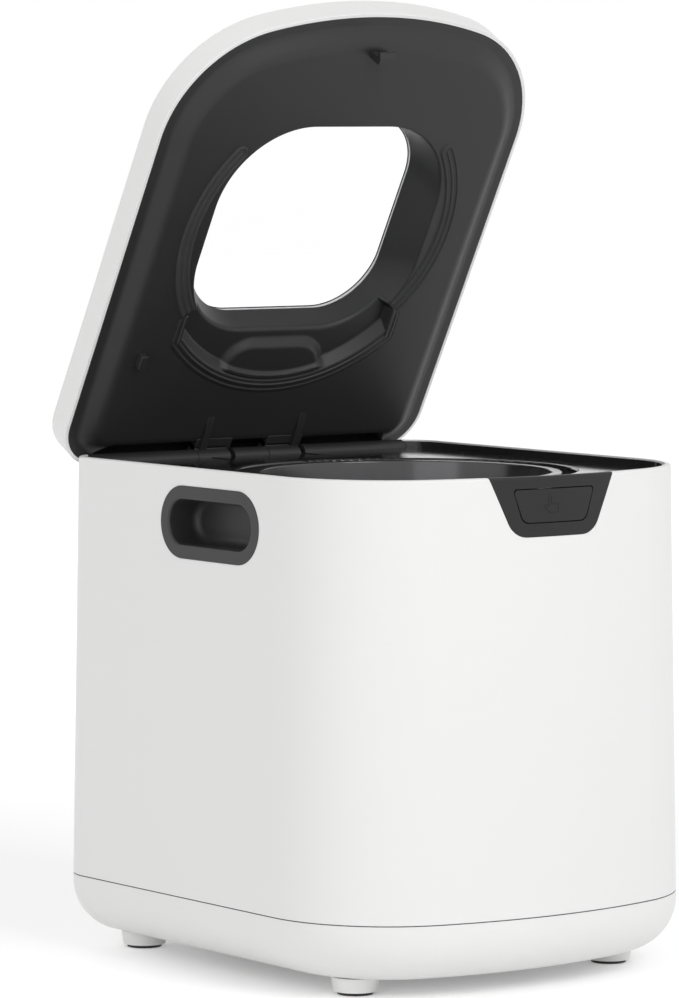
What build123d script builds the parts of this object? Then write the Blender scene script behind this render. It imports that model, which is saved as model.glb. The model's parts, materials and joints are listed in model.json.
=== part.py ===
from build123d import *
import math
import os

os.makedirs("parts", exist_ok=True)

# Kitchen food-waste composter.  Millimetres, +X to the right, -Y to the front, +Z up.
# The origin is on the table, below the middle of the body.  The lid stands half open.

# ---------------------------------------------------------------- driving dimensions

# Body shell: a D in plan, with a flat back and a bowed front, wider at the bottom.
rim_width = 270.0
rim_depth = 314.5
rim_height = 302.0
seam_height = 46.0
wall_draft = 0.97
rear_corner_radius = 28.0
front_corner_radius = 77.7
front_bow_radius = 294.6
body_wall = 3.5
rim_edge_radius = 1.5
seam_chamfer = 0.5

# Clearances
seat_gap = 0.2
running_gap = 0.05
moving_gap = 0.5
small_gap = 0.3

# Base tray and feet
base_bottom = 10.5
base_edge_radius = 31.5
base_wall = 3.0
base_tongue_height = 7.0
base_tongue_wall = 2.0
foot_top_radius = 14.3
foot_bottom_radius = 13.0
pad_radius = 10.6
pad_height = 3.2
pad_recess = 1.2
foot_stem_radius = 5.0
front_foot_side_inset = 40.0
front_foot_inset = 65.75
rear_foot_side_inset = 36.5
rear_foot_inset = 35.25

# Deck inside the rim
deck_drop = 4.8
deck_thickness = 2.6
deck_upstand_wall = 1.6
deck_upstand_drop = 0.8
deck_ledge_width = 4.0
deck_ledge_height = 5.0
well_radius = 102.5
well_wall = 3.0
well_skirt_height = 9.2
well_edge_radius = 1.5

# Waste bucket and the heated pot around it
bucket_y = -14.0
bucket_rim_drop = 5.5
bucket_rim_radius = 94.0
bucket_lip_width = 6.0
bucket_lip_height = 3.0
bucket_wall = 1.2
bucket_top_radius = 88.7
bucket_bottom_radius = 81.0
bucket_depth = 165.0
bucket_corner_radius = 14.0
pot_wall = 1.6
pot_clearance = 1.6
pot_floor_gap = 0.3
gasket_height = 2.0
gasket_outer_gap = 0.4
heater_rise = 35.0
heater_height = 40.0
heater_thickness = 3.0
heater_arc = 345.0
sensor_radius = 7.0
sensor_height = 5.0
sensor_offset = -40.0

# Lid
lid_open = 60.6
lid_gap = 3.0
lid_height = 19.0
lid_overhang = 1.0
lid_wall = 2.2
lid_top_wall = 2.5
lid_edge_radius = 3.5
liner_inset = 1.3
liner_wall = 2.0
plug_depth = 7.0
plug_top_inset = 8.0
plug_bottom_inset = 18.0
plug_blend = 11.0
hinge_inset = 5.55
hinge_drop = 6.8
knuckle_radius = 6.8
knuckle_inner = 13.4
knuckle_outer = 40.4
hinge_pin_radius = 2.0
hinge_pin_length = 100.0
arm_x = 35.0
arm_width = 5.0
arm_rise = 1.6
arm_length = 30.2
arm_pocket_depth = 1.5
tongue_length = 13.7
beam_side_inset = 15.0
beam_depth = 12.65
beam_height = 18.0

# Lid window and its flared tunnel
window_y = -13.0
mouth_half_x = 83.4
mouth_half_y = 71.3
mouth_radius = 56.6
window_half_x = 70.5
window_half_y = 66.0
window_radius = 38.0
pane_lap = 3.0
pane_thickness = 2.5
window_lip = 1.2

# Ridged seal and vent cover round the tunnel
ring_y = -10.0
ring_inner_radius = 91.0
ring_outer_radius = 101.0
ring_gap_angle = 54.5
ring_tip_angle = 126.0
ridge_width = 1.4
ridge_height = 0.5
ridge_pitch = 3.8
seal_base = 0.4
vent_outer_radius = 115.0
vent_ledge_radius = 106.5
vent_floor_depth = 6.5
vent_side_angle = 40.0
vent_end_angle = 3.0
seal_end_angle = 5.0
grip_half_width = 39.0
grip_front_y = 68.0
grip_depth = 2.2
grip_radius = 22.0

# Lid latch, its button and bezel
hook_inset = 22.75
hook_width = 11.8
hook_length = 10.0
hook_thickness = 4.0
hook_tooth = 3.2
hook_slot_margin = 4.5
bezel_half_top = 45.8
bezel_half_bottom = 29.2
bezel_height = 35.0
bezel_corner_radius = 14.5
bezel_thickness = 3.5
button_drop = 7.6
button_height = 19.1
button_half_top = 29.5
button_half_bottom = 22.8
button_upper_radius = 2.0
button_lower_radius = 6.0
button_thickness = 2.6
button_gap = 0.6
button_travel = 3.0
pusher_drop = 5.8
pusher_half_width = 4.5
pusher_thickness = 2.0
pusher_depth = 2.6
lever_half_width = 5.0
lever_inset = 10.25
lever_drop = 20.0
lever_thickness = 3.0
lever_tail = 15.0
lever_boss_wall = 1.6
nose_length = 7.0
nose_height = 2.5
latch_pin_radius = 1.5
ear_thickness = 3.0
ear_rise = 4.0
ear_depth = 3.2
spring_radius = 2.8
spring_wire = 0.35
spring_turns = 4
spring_x = 16.0
spring_seat_half_width = 4.0
spring_seat_rise = 6.0
spring_seat_step = 1.0

# Touch panel on the lid, and the tab for the lid switch
panel_y = 104.0
panel_half_width = 52.0
panel_half_depth = 22.0
panel_radius = 8.0
panel_thickness = 1.2
board_inset = 4.0
chip_half_size = 8.0
chip_height = 2.0
tab_side_inset = 31.5
tab_rear_inset = 79.75
tab_width = 5.0
tab_length = 9.0
tab_drop = 5.0

# Hand recesses in both sides
hand_y = -2.0
hand_drop = 32.5
hand_flange_width = 8.0
hand_pocket_width = 84.0
hand_pocket_height = 27.0
hand_pocket_depth = 21.0
hand_floor_radius = 5.0
hand_mouth_radius = 1.5
hand_wall = 2.0
hand_flange = 1.6
hand_flange_proud = 0.4
hand_rebate = 1.2

# Drive under the pot
gear_module = 1.5
pinion_teeth = 14
wheel_teeth = 42
pressure_angle = 25.0
tooth_backlash = 0.2
mesh_gap = 0.12
gear_face = 8.0
gear_addendum = 0.9
gear_dedendum = 1.25
gear_hub_radius = 9.0
wheel_hole_orbit = 19.0
wheel_hole_radius = 5.0
gear_layer_gap = 1.5
gearbox_drop = 72.4
gearbox_wall = 2.2
gearbox_gap = 2.5
compound_angle = 60.0
motor_angle = -10.0
motor_radius = 23.0
motor_length = 36.0
motor_shaft_radius = 2.5
motor_shaft_depth = 10.0
motor_edge_radius = 2.0
motor_cap_height = 3.0
shaft_radius = 5.0
gear_pin_radius = 3.0
boss_radius = 9.0
leg_radius = 5.0
leg_offset = 18.0

# Coupling and blade
dome_radius = 22.0
dome_height = 18.0
dome_top_radius = 15.0
bush_radius = 7.0
bush_length = 9.0
bush_flange = 2.5
spindle_radius = 4.0
dog_radius = 18.0
dog_height = 3.5
lug_radius = 2.4
lug_height = 4.0
lug_orbit = 12.0
wing_end_gap = 2.0
wing_width = 5.0
wing_height = 3.5
hub_radius = 11.0
hub_height = 22.0
blade_reach = 71.0
blade_thickness = 4.0
blade_height = 34.0
blade_tip_height = 12.0
blade_floor_gap = 3.0
blade_sweep_radius = 60.0

# Fan, duct and filter in the back
fan_x = -70.0
fan_drop = 87.0
fan_inset = 58.25
fan_depth = 30.0
fan_half_size = 42.0
fan_wall = 2.0
rotor_radius = 34.0
rotor_hub_radius = 11.0
rotor_blades = 12
rotor_depth = 20.0
fan_inlet_radius = 24.0
fan_corner_radius = 6.0
fan_stub_radius = 2.5
rotor_gap = 1.0
rotor_plate = 1.6
vane_length = 9.0
vane_thickness = 1.2
duct_rise = 21.0
duct_height = 28.0
sleeve_left = -14.0
sleeve_right = 112.0
sleeve_drop = 40.0
sleeve_height = 86.0
sleeve_depth = 69.25
sleeve_wall = 2.0
sleeve_end_inset = 3.25
drawer_wall = 2.0
drawer_face_thickness = 3.0
drawer_slots = 9
drawer_slot_width = 4.0
drawer_slot_height = 44.0
drawer_slot_pitch = 10.0
finger_slot_length = 46.0
finger_slot_width = 12.0
filter_clearance = 3.0
filter_gap = 0.6

# Electrical pieces
inlet_x = 78.0
inlet_rise = 40.0
inlet_width = 27.4
inlet_height = 19.8
inlet_flange_width = 50.0
inlet_flange_height = 26.0
inlet_depth = 24.0
inlet_wall = 1.8
inlet_cavity_depth = 17.0
inlet_flange_thickness = 2.5
board_left = -112.0
board_right = -12.0
board_rise = 14.0
board_height = 72.0
board_thickness = 1.6
board_rear_inset = 11.25
board_stud_inset = 6.0
board_stud_radius = 3.0
transformer_inset = 10.0
transformer_width = 34.0
transformer_height = 32.0
transformer_depth = 26.0
capacitor_inset = 26.0
capacitor_rise = 24.0
capacitor_radius = 9.0
capacitor_length = 28.0
relay_inset = 12.0
relay_width = 28.0
relay_height = 14.0
relay_depth = 16.0
vent_slots = 9
vent_slot_width = 3.0
vent_slot_height = 34.0
vent_slot_pitch = 9.0

# ---------------------------------------------------------------- derived sizes

draft_slope = math.tan(math.radians(wall_draft))
rear_face = rim_depth / 2
front_foot = (rim_width / 2 - front_foot_side_inset, front_foot_inset - rear_face)
rear_foot = (rim_width / 2 - rear_foot_side_inset, rear_face - rear_foot_inset)
hinge_y = rear_face - hinge_inset
hinge_z = rim_height - hinge_drop
beam_half_length = rim_width / 2 - beam_side_inset
beam_front_y = rear_face - beam_depth
beam_bottom = rim_height - beam_height
tongue_front_y = hinge_y - tongue_length
arm_start_y = hinge_y - arm_length
hook_y = hook_inset - rear_face
bezel_bottom = rim_height - bezel_height
button_top = rim_height - button_drop
button_bottom = button_top - button_height
pusher_height = button_bottom - pusher_drop
lever_y = lever_inset - rear_face
lever_z = rim_height - lever_drop
lever_bottom = lever_z - lever_tail
tab_x = tab_side_inset - rim_width / 2
tab_y = rear_face - tab_rear_inset
hand_z = rim_height - hand_drop
fan_z = rim_height - fan_drop
fan_front_y = rear_face - fan_inset
duct_z = fan_z + duct_rise
sleeve_top = rim_height - sleeve_drop
sleeve_bottom = sleeve_top - sleeve_height
sleeve_front_y = rear_face - sleeve_depth
sleeve_rear_y = rear_face - sleeve_end_inset
inlet_z = seam_height + inlet_rise
board_bottom = seam_height + board_rise
board_top = board_bottom + board_height
board_y = rear_face - board_rear_inset
deck_top = rim_height - deck_drop
deck_bottom = deck_top - deck_thickness
well_skirt_bottom = deck_top - well_skirt_height
parting_height = rim_height + lid_gap
field_height = parting_height - plug_depth
lid_top = parting_height + lid_height
pane_top = lid_top - lid_top_wall
pane_bottom = pane_top - pane_thickness
bucket_top = rim_height - bucket_rim_drop
bucket_floor = bucket_top - bucket_depth
bucket_bottom = bucket_floor - bucket_wall
pot_floor = bucket_bottom - pot_floor_gap
pot_bottom = pot_floor - pot_wall
heater_bottom = pot_floor + heater_rise
heater_top = heater_bottom + heater_height
gearbox_floor = pot_bottom - gearbox_drop
dome_top = bucket_floor + dome_height
open_sine = math.sin(math.radians(lid_open))
open_cosine = math.cos(math.radians(lid_open))
bucket_axis = Axis((0, bucket_y, 0), (0, 0, 1))


# ---------------------------------------------------------------- shared shapes


def d_profile(plane, half_width, rear, front, rear_radius, front_radius, bow_radius):
    """D-shaped plan: straight back and sides, rounded corners and a bowed front."""
    bow_centre = front + bow_radius
    corner_x = half_width - front_radius
    corner_y = bow_centre - math.sqrt((bow_radius - front_radius) ** 2 - corner_x**2)
    meeting_angle = math.degrees(math.atan2(corner_y - bow_centre, corner_x))
    with BuildSketch(plane) as outline:
        with BuildLine():
            Line((half_width - rear_radius, rear), (0, rear))
            CenterArc((half_width - rear_radius, rear - rear_radius), rear_radius, 0, 90)
            Line((half_width, rear - rear_radius), (half_width, corner_y))
            CenterArc((corner_x, corner_y), front_radius, 0, meeting_angle)
            CenterArc((0, bow_centre), bow_radius, meeting_angle, -90 - meeting_angle)
            mirror(about=Plane.YZ)
        make_face()
    return outline.sketch


def rim_profile(plane, step):
    """The rim's plan, moved outwards by step."""
    return d_profile(
        plane,
        rim_width / 2 + step,
        rear_face + step,
        -rear_face - step,
        rear_corner_radius + step,
        front_corner_radius + step,
        front_bow_radius + step,
    )


def draft_growth(height):
    """How far the drafted wall stands outside the rim at a height."""
    return (rim_height - height) * draft_slope


def body_profile(height, inset=0.0):
    """Plan of the drafted wall at a height, moved inwards by inset."""
    return rim_profile(Plane.XY.offset(height), draft_growth(height) - inset)


def lid_point(x, y, z):
    """Where a point of the closed lid stands with the lid at rest."""
    along = y - hinge_y
    above = z - hinge_z
    return (
        x,
        hinge_y + along * open_cosine + above * open_sine,
        hinge_z - along * open_sine + above * open_cosine,
    )


def lid_plane(height):
    """Plane across the lid that lies level at this height when the lid is closed."""
    return Plane(lid_point(0, 0, height), x_dir=(1, 0, 0), z_dir=(0, open_sine, open_cosine))


def lid_side_plane(x):
    """Upright fore-and-aft plane of the lid; its axes are the closed lid's Y and Z."""
    return Plane(lid_point(x, 0, 0), x_dir=(0, open_cosine, -open_sine), z_dir=(1, 0, 0))


def front_plane(y):
    """Upright plane that faces the front, with X and Z as its axes."""
    return Plane((0, y, 0), x_dir=(1, 0, 0), z_dir=(0, -1, 0))


def rear_plane(y):
    """Upright plane that faces the back; its first axis runs to -X."""
    return Plane((0, y, 0), x_dir=(-1, 0, 0), z_dir=(0, 1, 0))


def rounded_square(plane, y, half_x, half_y, radius):
    """Rounded rectangle centred on x = 0."""
    with BuildSketch(plane) as outline:
        with Locations((0, y)):
            RectangleRounded(2 * half_x, 2 * half_y, radius)
    return outline.sketch


def trapezoid(plane, top, bottom, half_top, half_bottom, top_radius, bottom_radius):
    """Trapezoid that narrows downwards, with rounded corners."""
    with BuildSketch(plane) as outline:
        Polygon(
            (-half_top, top),
            (-half_bottom, bottom),
            (half_bottom, bottom),
            (half_top, top),
            align=None,
        )
        fillet(outline.vertices().group_by(Axis.Y)[0], bottom_radius)
        if top_radius > 0:
            fillet(outline.vertices().group_by(Axis.Y)[-1], top_radius)
    return outline.sketch


def block(x_range, y_range, z_range, mode=Mode.ADD):
    """Block between two faces each way, in the part that is open."""
    with Locations((x_range[0], y_range[0], z_range[0])):
        Box(
            x_range[1] - x_range[0],
            y_range[1] - y_range[0],
            z_range[1] - z_range[0],
            align=(Align.MIN, Align.MIN, Align.MIN),
            mode=mode,
        )


def rod(start, direction, radius, length, mode=Mode.ADD):
    """Round bar from a point along a direction, in the part that is open."""
    with BuildSketch(Plane(start, z_dir=direction)) as section:
        Circle(radius)
    extrude(section.sketch, amount=length, mode=mode)


def finish(piece, name):
    """Label a piece and write its file."""
    piece.part.label = name
    export_step(piece.part, "parts/" + name + ".step")


# ---------------------------------------------------------------- body shell

shell_height = rim_height - seam_height
beam_cut = beam_half_length + seat_gap
feet = [(side * x, y) for side in (-1, 1) for x, y in (front_foot, rear_foot)]
hand_face_x = rim_width / 2 + draft_growth(hand_z)
board_x = (board_left + board_right) / 2
board_z = (board_bottom + board_top) / 2
board_studs = [
    (x, z)
    for x in (board_left + board_stud_inset, board_right - board_stud_inset)
    for z in (board_bottom + board_stud_inset, board_top - board_stud_inset)
]


def hand_plane(side, inset):
    """Plane along the drafted side wall at the hand recess, facing out."""
    outward = Vector(side * math.cos(math.radians(wall_draft)), 0, math.sin(math.radians(wall_draft)))
    origin = Vector(side * hand_face_x, hand_y, hand_z) - outward * inset
    return Plane(origin, x_dir=(0, side, 0), z_dir=outward)


def hand_slot(side, inset, margin):
    """Stadium outline of the hand pocket, grown by a margin."""
    with BuildSketch(hand_plane(side, inset)) as slot:
        SlotOverall(hand_pocket_width + 2 * margin, hand_pocket_height + 2 * margin)
    return slot.sketch


def bezel_outline(margin):
    """The latch bezel's outline on the front, grown by a margin and open at the top."""
    flare = (bezel_half_top - bezel_half_bottom) / (rim_height - bezel_bottom)
    return trapezoid(
        front_plane(-rear_face + 15),
        rim_height + 1,
        bezel_bottom - margin,
        bezel_half_top + flare + margin,
        bezel_half_bottom + margin,
        0,
        bezel_corner_radius,
    )


with BuildPart() as main_housing:
    extrude(body_profile(seam_height), amount=shell_height, taper=wall_draft)
    fillet(main_housing.faces().sort_by(Axis.Z)[-1].edges(), rim_edge_radius)
    chamfer(main_housing.faces().sort_by(Axis.Z)[0].edges(), seam_chamfer)
    extrude(
        body_profile(seam_height, body_wall),
        amount=shell_height,
        taper=wall_draft,
        mode=Mode.SUBTRACT,
    )
    # Ledge that carries the deck
    ledge_bottom = deck_bottom - deck_ledge_height
    extrude(body_profile(ledge_bottom, body_wall - seat_gap), amount=deck_ledge_height, taper=wall_draft)
    extrude(
        body_profile(ledge_bottom, body_wall + deck_ledge_width),
        amount=deck_ledge_height,
        taper=wall_draft,
        mode=Mode.SUBTRACT,
    )
    # The back wall stops below the hinge beam
    block(
        (-beam_cut, beam_cut),
        (beam_front_y - seat_gap, rear_face + 10),
        (beam_bottom, rim_height + 1),
        Mode.SUBTRACT,
    )
    # Front cut-out for the latch bezel
    extrude(bezel_outline(seat_gap), amount=30, mode=Mode.SUBTRACT)
    # Hand recesses, rebated for the flange
    for side in (-1, 1):
        extrude(hand_slot(side, body_wall + 1, hand_wall + seat_gap), amount=10, mode=Mode.SUBTRACT)
        extrude(hand_slot(side, hand_rebate, hand_flange_width + seat_gap), amount=10, mode=Mode.SUBTRACT)
    # Openings in the back wall: filter drawer, mains inlet and cooling slots
    block(
        (sleeve_left + sleeve_wall, sleeve_right - sleeve_wall),
        (sleeve_rear_y, rear_face + 10),
        (sleeve_bottom + sleeve_wall, sleeve_top - sleeve_wall),
        Mode.SUBTRACT,
    )
    with BuildSketch(rear_plane(rear_face - 12)) as rear_cuts:
        with Locations((-inlet_x, inlet_z)):
            Rectangle(inlet_width + 2 * seat_gap, inlet_height + 2 * seat_gap)
        with Locations((-board_x, board_z)):
            with GridLocations(vent_slot_pitch, 1, vent_slots, 1):
                SlotOverall(vent_slot_height, vent_slot_width, rotation=90)
    extrude(rear_cuts.sketch, amount=24, mode=Mode.SUBTRACT)
    # Studs that carry the power board
    for x, z in board_studs:
        stud_start = board_y + board_thickness
        stud_end = rear_face + draft_growth(z) - body_wall / 2
        rod((x, stud_start, z), (0, 1, 0), board_stud_radius, stud_end - stud_start)
finish(main_housing, "main_housing")

with BuildPart() as base_hollow:
    extrude(body_profile(seam_height, base_wall), amount=base_bottom + base_wall - seam_height)
    fillet(base_hollow.faces().sort_by(Axis.Z)[0].edges(), base_edge_radius - base_wall)

with BuildPart() as base_tray:
    extrude(body_profile(seam_height), amount=base_bottom - seam_height)
    fillet(base_tray.faces().sort_by(Axis.Z)[0].edges(), base_edge_radius)
    chamfer(base_tray.faces().sort_by(Axis.Z)[-1].edges(), seam_chamfer)
    add(base_hollow.part, mode=Mode.SUBTRACT)
    # Tongue that locates the body shell
    tongue_bottom = seam_height - base_tongue_height
    extrude(body_profile(tongue_bottom, base_wall - seat_gap), amount=base_tongue_height)
    extrude(body_profile(seam_height, body_wall + seat_gap), amount=base_tongue_height, taper=wall_draft)
    extrude(
        body_profile(tongue_bottom, body_wall + seat_gap + base_tongue_wall),
        amount=2 * base_tongue_height,
        mode=Mode.SUBTRACT,
    )
    # Holes for the stems of the feet
    for x, y in feet:
        rod((x, y, base_bottom - 1), (0, 0, 1), foot_stem_radius + running_gap, base_wall + 2, Mode.SUBTRACT)
finish(base_tray, "base_tray")

foot_bottom = pad_height - pad_recess
for number, (x, y) in enumerate(feet, start=1):
    with BuildPart() as foot:
        with Locations((x, y, foot_bottom)):
            Cone(
                foot_bottom_radius,
                foot_top_radius,
                base_bottom - foot_bottom,
                align=(Align.CENTER, Align.CENTER, Align.MIN),
            )
        rod((x, y, base_bottom), (0, 0, 1), foot_stem_radius, base_wall)
        rod((x, y, foot_bottom), (0, 0, 1), pad_radius + seat_gap, pad_recess, Mode.SUBTRACT)
    finish(foot, "foot_%d" % number)
    with BuildPart() as foot_pad:
        rod((x, y, 0), (0, 0, 1), pad_radius, pad_height)
        chamfer(foot_pad.faces().sort_by(Axis.Z)[0].edges(), 0.4)
    finish(foot_pad, "foot_pad_%d" % number)

# ---------------------------------------------------------------- deck and hinge beam

with BuildPart() as top_deck:
    deck_inset = body_wall + seat_gap
    extrude(body_profile(deck_bottom, deck_inset), amount=deck_thickness, taper=wall_draft)
    # Upstand against the body wall
    upstand_height = deck_drop - deck_upstand_drop
    extrude(body_profile(deck_top, deck_inset), amount=upstand_height, taper=wall_draft)
    extrude(
        body_profile(deck_top, deck_inset + deck_upstand_wall),
        amount=upstand_height,
        taper=wall_draft,
        mode=Mode.SUBTRACT,
    )
    # Skirt and round opening of the bucket well
    rod((0, bucket_y, well_skirt_bottom), (0, 0, 1), well_radius + well_wall, deck_bottom - well_skirt_bottom)
    rod((0, bucket_y, well_skirt_bottom), (0, 0, 1), well_radius, deck_drop + well_skirt_height, Mode.SUBTRACT)
    well_edges = top_deck.edges().filter_by(GeomType.CIRCLE)
    well_edges = well_edges.filter_by(lambda edge: abs(edge.radius - well_radius) < 0.01)
    fillet(well_edges.sort_by(Axis.Z)[-1], well_edge_radius)
    # Room for the hinge beam, the lid's arms, the hook and the lid's switch tab
    block((-beam_cut, beam_cut), (beam_front_y - seat_gap, rear_face), (deck_bottom, rim_height), Mode.SUBTRACT)
    for side in (-1, 1):
        block(
            (side * arm_x - arm_width / 2 - 1, side * arm_x + arm_width / 2 + 1),
            (arm_start_y - 1, beam_front_y),
            (deck_top - arm_pocket_depth, rim_height),
            Mode.SUBTRACT,
        )
    block(
        (-hook_width / 2 - hook_slot_margin, hook_width / 2 + hook_slot_margin),
        (lever_y - 2, hook_y + hook_thickness / 2 + hook_slot_margin),
        (deck_bottom, deck_top),
        Mode.SUBTRACT,
    )
    block(
        (tab_x - tab_width / 2 - 2, tab_x + tab_width / 2 + 2),
        (tab_y - tab_length / 2 - 3, tab_y + tab_length / 2 + 3),
        (deck_bottom, deck_top),
        Mode.SUBTRACT,
    )
    # Relief over the release button's travel
    block(
        (-button_half_top - 1, button_half_top + 1),
        (-rear_face, -rear_face + button_thickness + button_travel + 3),
        (deck_bottom, deck_bottom + 1),
        Mode.SUBTRACT,
    )
finish(top_deck, "top_deck")

with BuildPart() as hinge_beam:
    with BuildSketch(Plane.YZ.offset(-beam_half_length)) as beam_section:
        with Locations((beam_front_y, beam_bottom)):
            Rectangle(
                rear_face - beam_front_y,
                hinge_z - beam_bottom,
                align=(Align.MIN, Align.MIN),
            )
        with Locations((hinge_y, hinge_z)):
            Circle(knuckle_radius)
    extrude(beam_section.sketch, amount=2 * beam_half_length)
    # Saddles for the lid's two knuckles
    for side in (-1, 1):
        inner_end = side * (knuckle_inner - moving_gap)
        saddle_length = knuckle_outer - knuckle_inner + 2 * moving_gap
        rod((inner_end, hinge_y, hinge_z), (side, 0, 0), knuckle_radius + moving_gap, saddle_length, Mode.SUBTRACT)
        block(
            tuple(sorted((inner_end, inner_end + side * saddle_length))),
            (beam_front_y, rear_face + 10),
            (hinge_z - 1, hinge_z + 10),
            Mode.SUBTRACT,
        )
    rod(
        (-hinge_pin_length / 2, hinge_y, hinge_z),
        (1, 0, 0),
        hinge_pin_radius + running_gap,
        hinge_pin_length,
        Mode.SUBTRACT,
    )
finish(hinge_beam, "hinge_beam")

with BuildPart() as hinge_pin:
    rod((-hinge_pin_length / 2, hinge_y, hinge_z), (1, 0, 0), hinge_pin_radius, hinge_pin_length)
finish(hinge_pin, "hinge_pin")

# ---------------------------------------------------------------- lid

lid_up = Axis((0, 0, 0), (0, open_sine, open_cosine))

with BuildPart() as lid_shell:
    extrude(rim_profile(lid_plane(parting_height), lid_overhang), amount=lid_height)
    fillet(lid_shell.faces().sort_by(lid_up)[-1].edges(), lid_edge_radius)
    extrude(
        rim_profile(lid_plane(parting_height), lid_overhang - lid_wall),
        amount=lid_height - lid_top_wall,
        mode=Mode.SUBTRACT,
    )
    window_cut = rounded_square(
        lid_plane(pane_top),
        window_y,
        window_half_x - window_lip,
        window_half_y - window_lip,
        window_radius - window_lip,
    )
    extrude(window_cut, amount=lid_top_wall, mode=Mode.SUBTRACT)
    panel_recess = rounded_square(
        lid_plane(lid_top - panel_thickness),
        panel_y,
        panel_half_width + seat_gap,
        panel_half_depth + seat_gap,
        panel_radius,
    )
    extrude(panel_recess, amount=panel_thickness, mode=Mode.SUBTRACT)
finish(lid_shell, "lid_shell")


def ring_sector(plane, inner, outer, half_angle):
    """Part of a ring round the window centre, on both sides of the fore-and-aft line."""
    with BuildSketch(plane) as sector:
        with Locations((0, ring_y)):
            Circle(outer)
            if inner > 0:
                Circle(inner, mode=Mode.SUBTRACT)
        far = 2 * outer
        spread = far * math.tan(math.radians(half_angle))
        Polygon(
            (0, ring_y),
            (spread, ring_y + far),
            (-spread, ring_y + far),
            align=None,
            mode=Mode.INTERSECT,
        )
    return sector.sketch


def tunnel_outline(height, margin):
    """The window tunnel's rounded square at a height of the closed lid."""
    share = (height - field_height) / (pane_bottom - field_height)
    return rounded_square(
        lid_plane(height),
        window_y,
        mouth_half_x + share * (window_half_x - mouth_half_x) + margin,
        mouth_half_y + share * (window_half_y - mouth_half_y) + margin,
        mouth_radius + share * (window_radius - mouth_radius) + margin,
    )


cover_depth = vent_floor_depth + liner_wall
plug_slope = math.degrees(math.atan2(plug_bottom_inset - plug_top_inset, plug_depth))
with BuildPart() as lid_liner:
    # Flat land round the edge
    extrude(rim_profile(lid_plane(parting_height), -liner_inset), amount=liner_wall)
    # Raised plug with a sloping edge
    extrude(
        rim_profile(lid_plane(field_height), -plug_bottom_inset),
        amount=plug_depth,
        taper=-plug_slope,
    )
    fillet(lid_liner.faces().sort_by(lid_up)[0].edges(), plug_blend)
    extrude(
        rim_profile(lid_plane(field_height + liner_wall), -plug_bottom_inset - liner_wall / 2),
        amount=plug_depth,
        taper=-plug_slope,
        mode=Mode.SUBTRACT,
    )
    # Flared window tunnel
    loft([tunnel_outline(field_height, liner_wall), tunnel_outline(pane_bottom, liner_wall)], ruled=True)
    # Seat of the vent cover
    extrude(
        ring_sector(lid_plane(field_height), 0, vent_outer_radius + seat_gap, ring_gap_angle + 0.2),
        amount=cover_depth + seat_gap,
        mode=Mode.SUBTRACT,
    )
    loft([tunnel_outline(field_height, 0), tunnel_outline(pane_bottom, 0)], ruled=True, mode=Mode.SUBTRACT)
    for side in (-1, 1):
        # Tongue, knuckle and arm of the hinge
        with BuildSketch(lid_plane(field_height)) as tongue:
            with Locations((side * (knuckle_inner + knuckle_outer) / 2, (tongue_front_y + hinge_y) / 2)):
                Rectangle(knuckle_outer - knuckle_inner, hinge_y - tongue_front_y)
        extrude(tongue.sketch, amount=plug_depth)
        rod(
            (side * knuckle_inner, hinge_y, hinge_z),
            (side, 0, 0),
            knuckle_radius,
            knuckle_outer - knuckle_inner,
        )
        with BuildSketch(lid_side_plane(side * arm_x - arm_width / 2)) as arm:
            Polygon(
                (arm_start_y, field_height + 1),
                (arm_start_y, field_height),
                (arm_start_y + 10, field_height - arm_rise),
                (hinge_y - knuckle_radius + 1, field_height - arm_rise),
                (hinge_y - knuckle_radius + 1, field_height + 1),
                align=None,
            )
        extrude(arm.sketch, amount=arm_width)
    rod(
        (-knuckle_outer, hinge_y, hinge_z),
        (1, 0, 0),
        hinge_pin_radius + running_gap,
        2 * knuckle_outer,
        Mode.SUBTRACT,
    )
    # Tab that closes the lid switch
    with BuildSketch(lid_plane(field_height)) as tab:
        with Locations((tab_x, tab_y)):
            Rectangle(tab_width, tab_length)
    extrude(tab.sketch, amount=-tab_drop)
finish(lid_liner, "lid_liner")

with BuildPart() as vent_cover:
    extrude(
        ring_sector(lid_plane(field_height), 0, vent_outer_radius, ring_gap_angle),
        amount=cover_depth,
    )
    # Sunken floor with sloping sides
    extrude(
        ring_sector(lid_plane(field_height), 0, vent_ledge_radius, ring_gap_angle - vent_end_angle),
        amount=vent_floor_depth,
        taper=vent_side_angle,
        mode=Mode.SUBTRACT,
    )
    # Finger grip left standing on the floor
    with BuildSketch(lid_plane(field_height + grip_depth)) as grip:
        with Locations((0, grip_front_y + vent_outer_radius / 2)):
            RectangleRounded(2 * grip_half_width, vent_outer_radius, grip_radius)
        with Locations((0, ring_y)):
            Circle(vent_ledge_radius, mode=Mode.INTERSECT)
    extrude(grip.sketch, amount=vent_floor_depth - grip_depth)
    # The floor ends flush with the tunnel and lies over the end of the tunnel's wall
    tunnel_side = tunnel_outline(field_height + vent_floor_depth, 0)
    extrude(tunnel_side, amount=liner_wall, mode=Mode.SUBTRACT)
    extrude(tunnel_side, amount=-vent_floor_depth, mode=Mode.SUBTRACT)
    # Ridges on the outer ledge
    for radius in (vent_ledge_radius + ridge_width, vent_outer_radius - ridge_width):
        ridge = ring_sector(lid_plane(field_height), radius - ridge_width / 2, radius + ridge_width / 2, ring_gap_angle - 1)
        extrude(ridge, amount=-ridge_height)
finish(vent_cover, "vent_cover")

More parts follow.
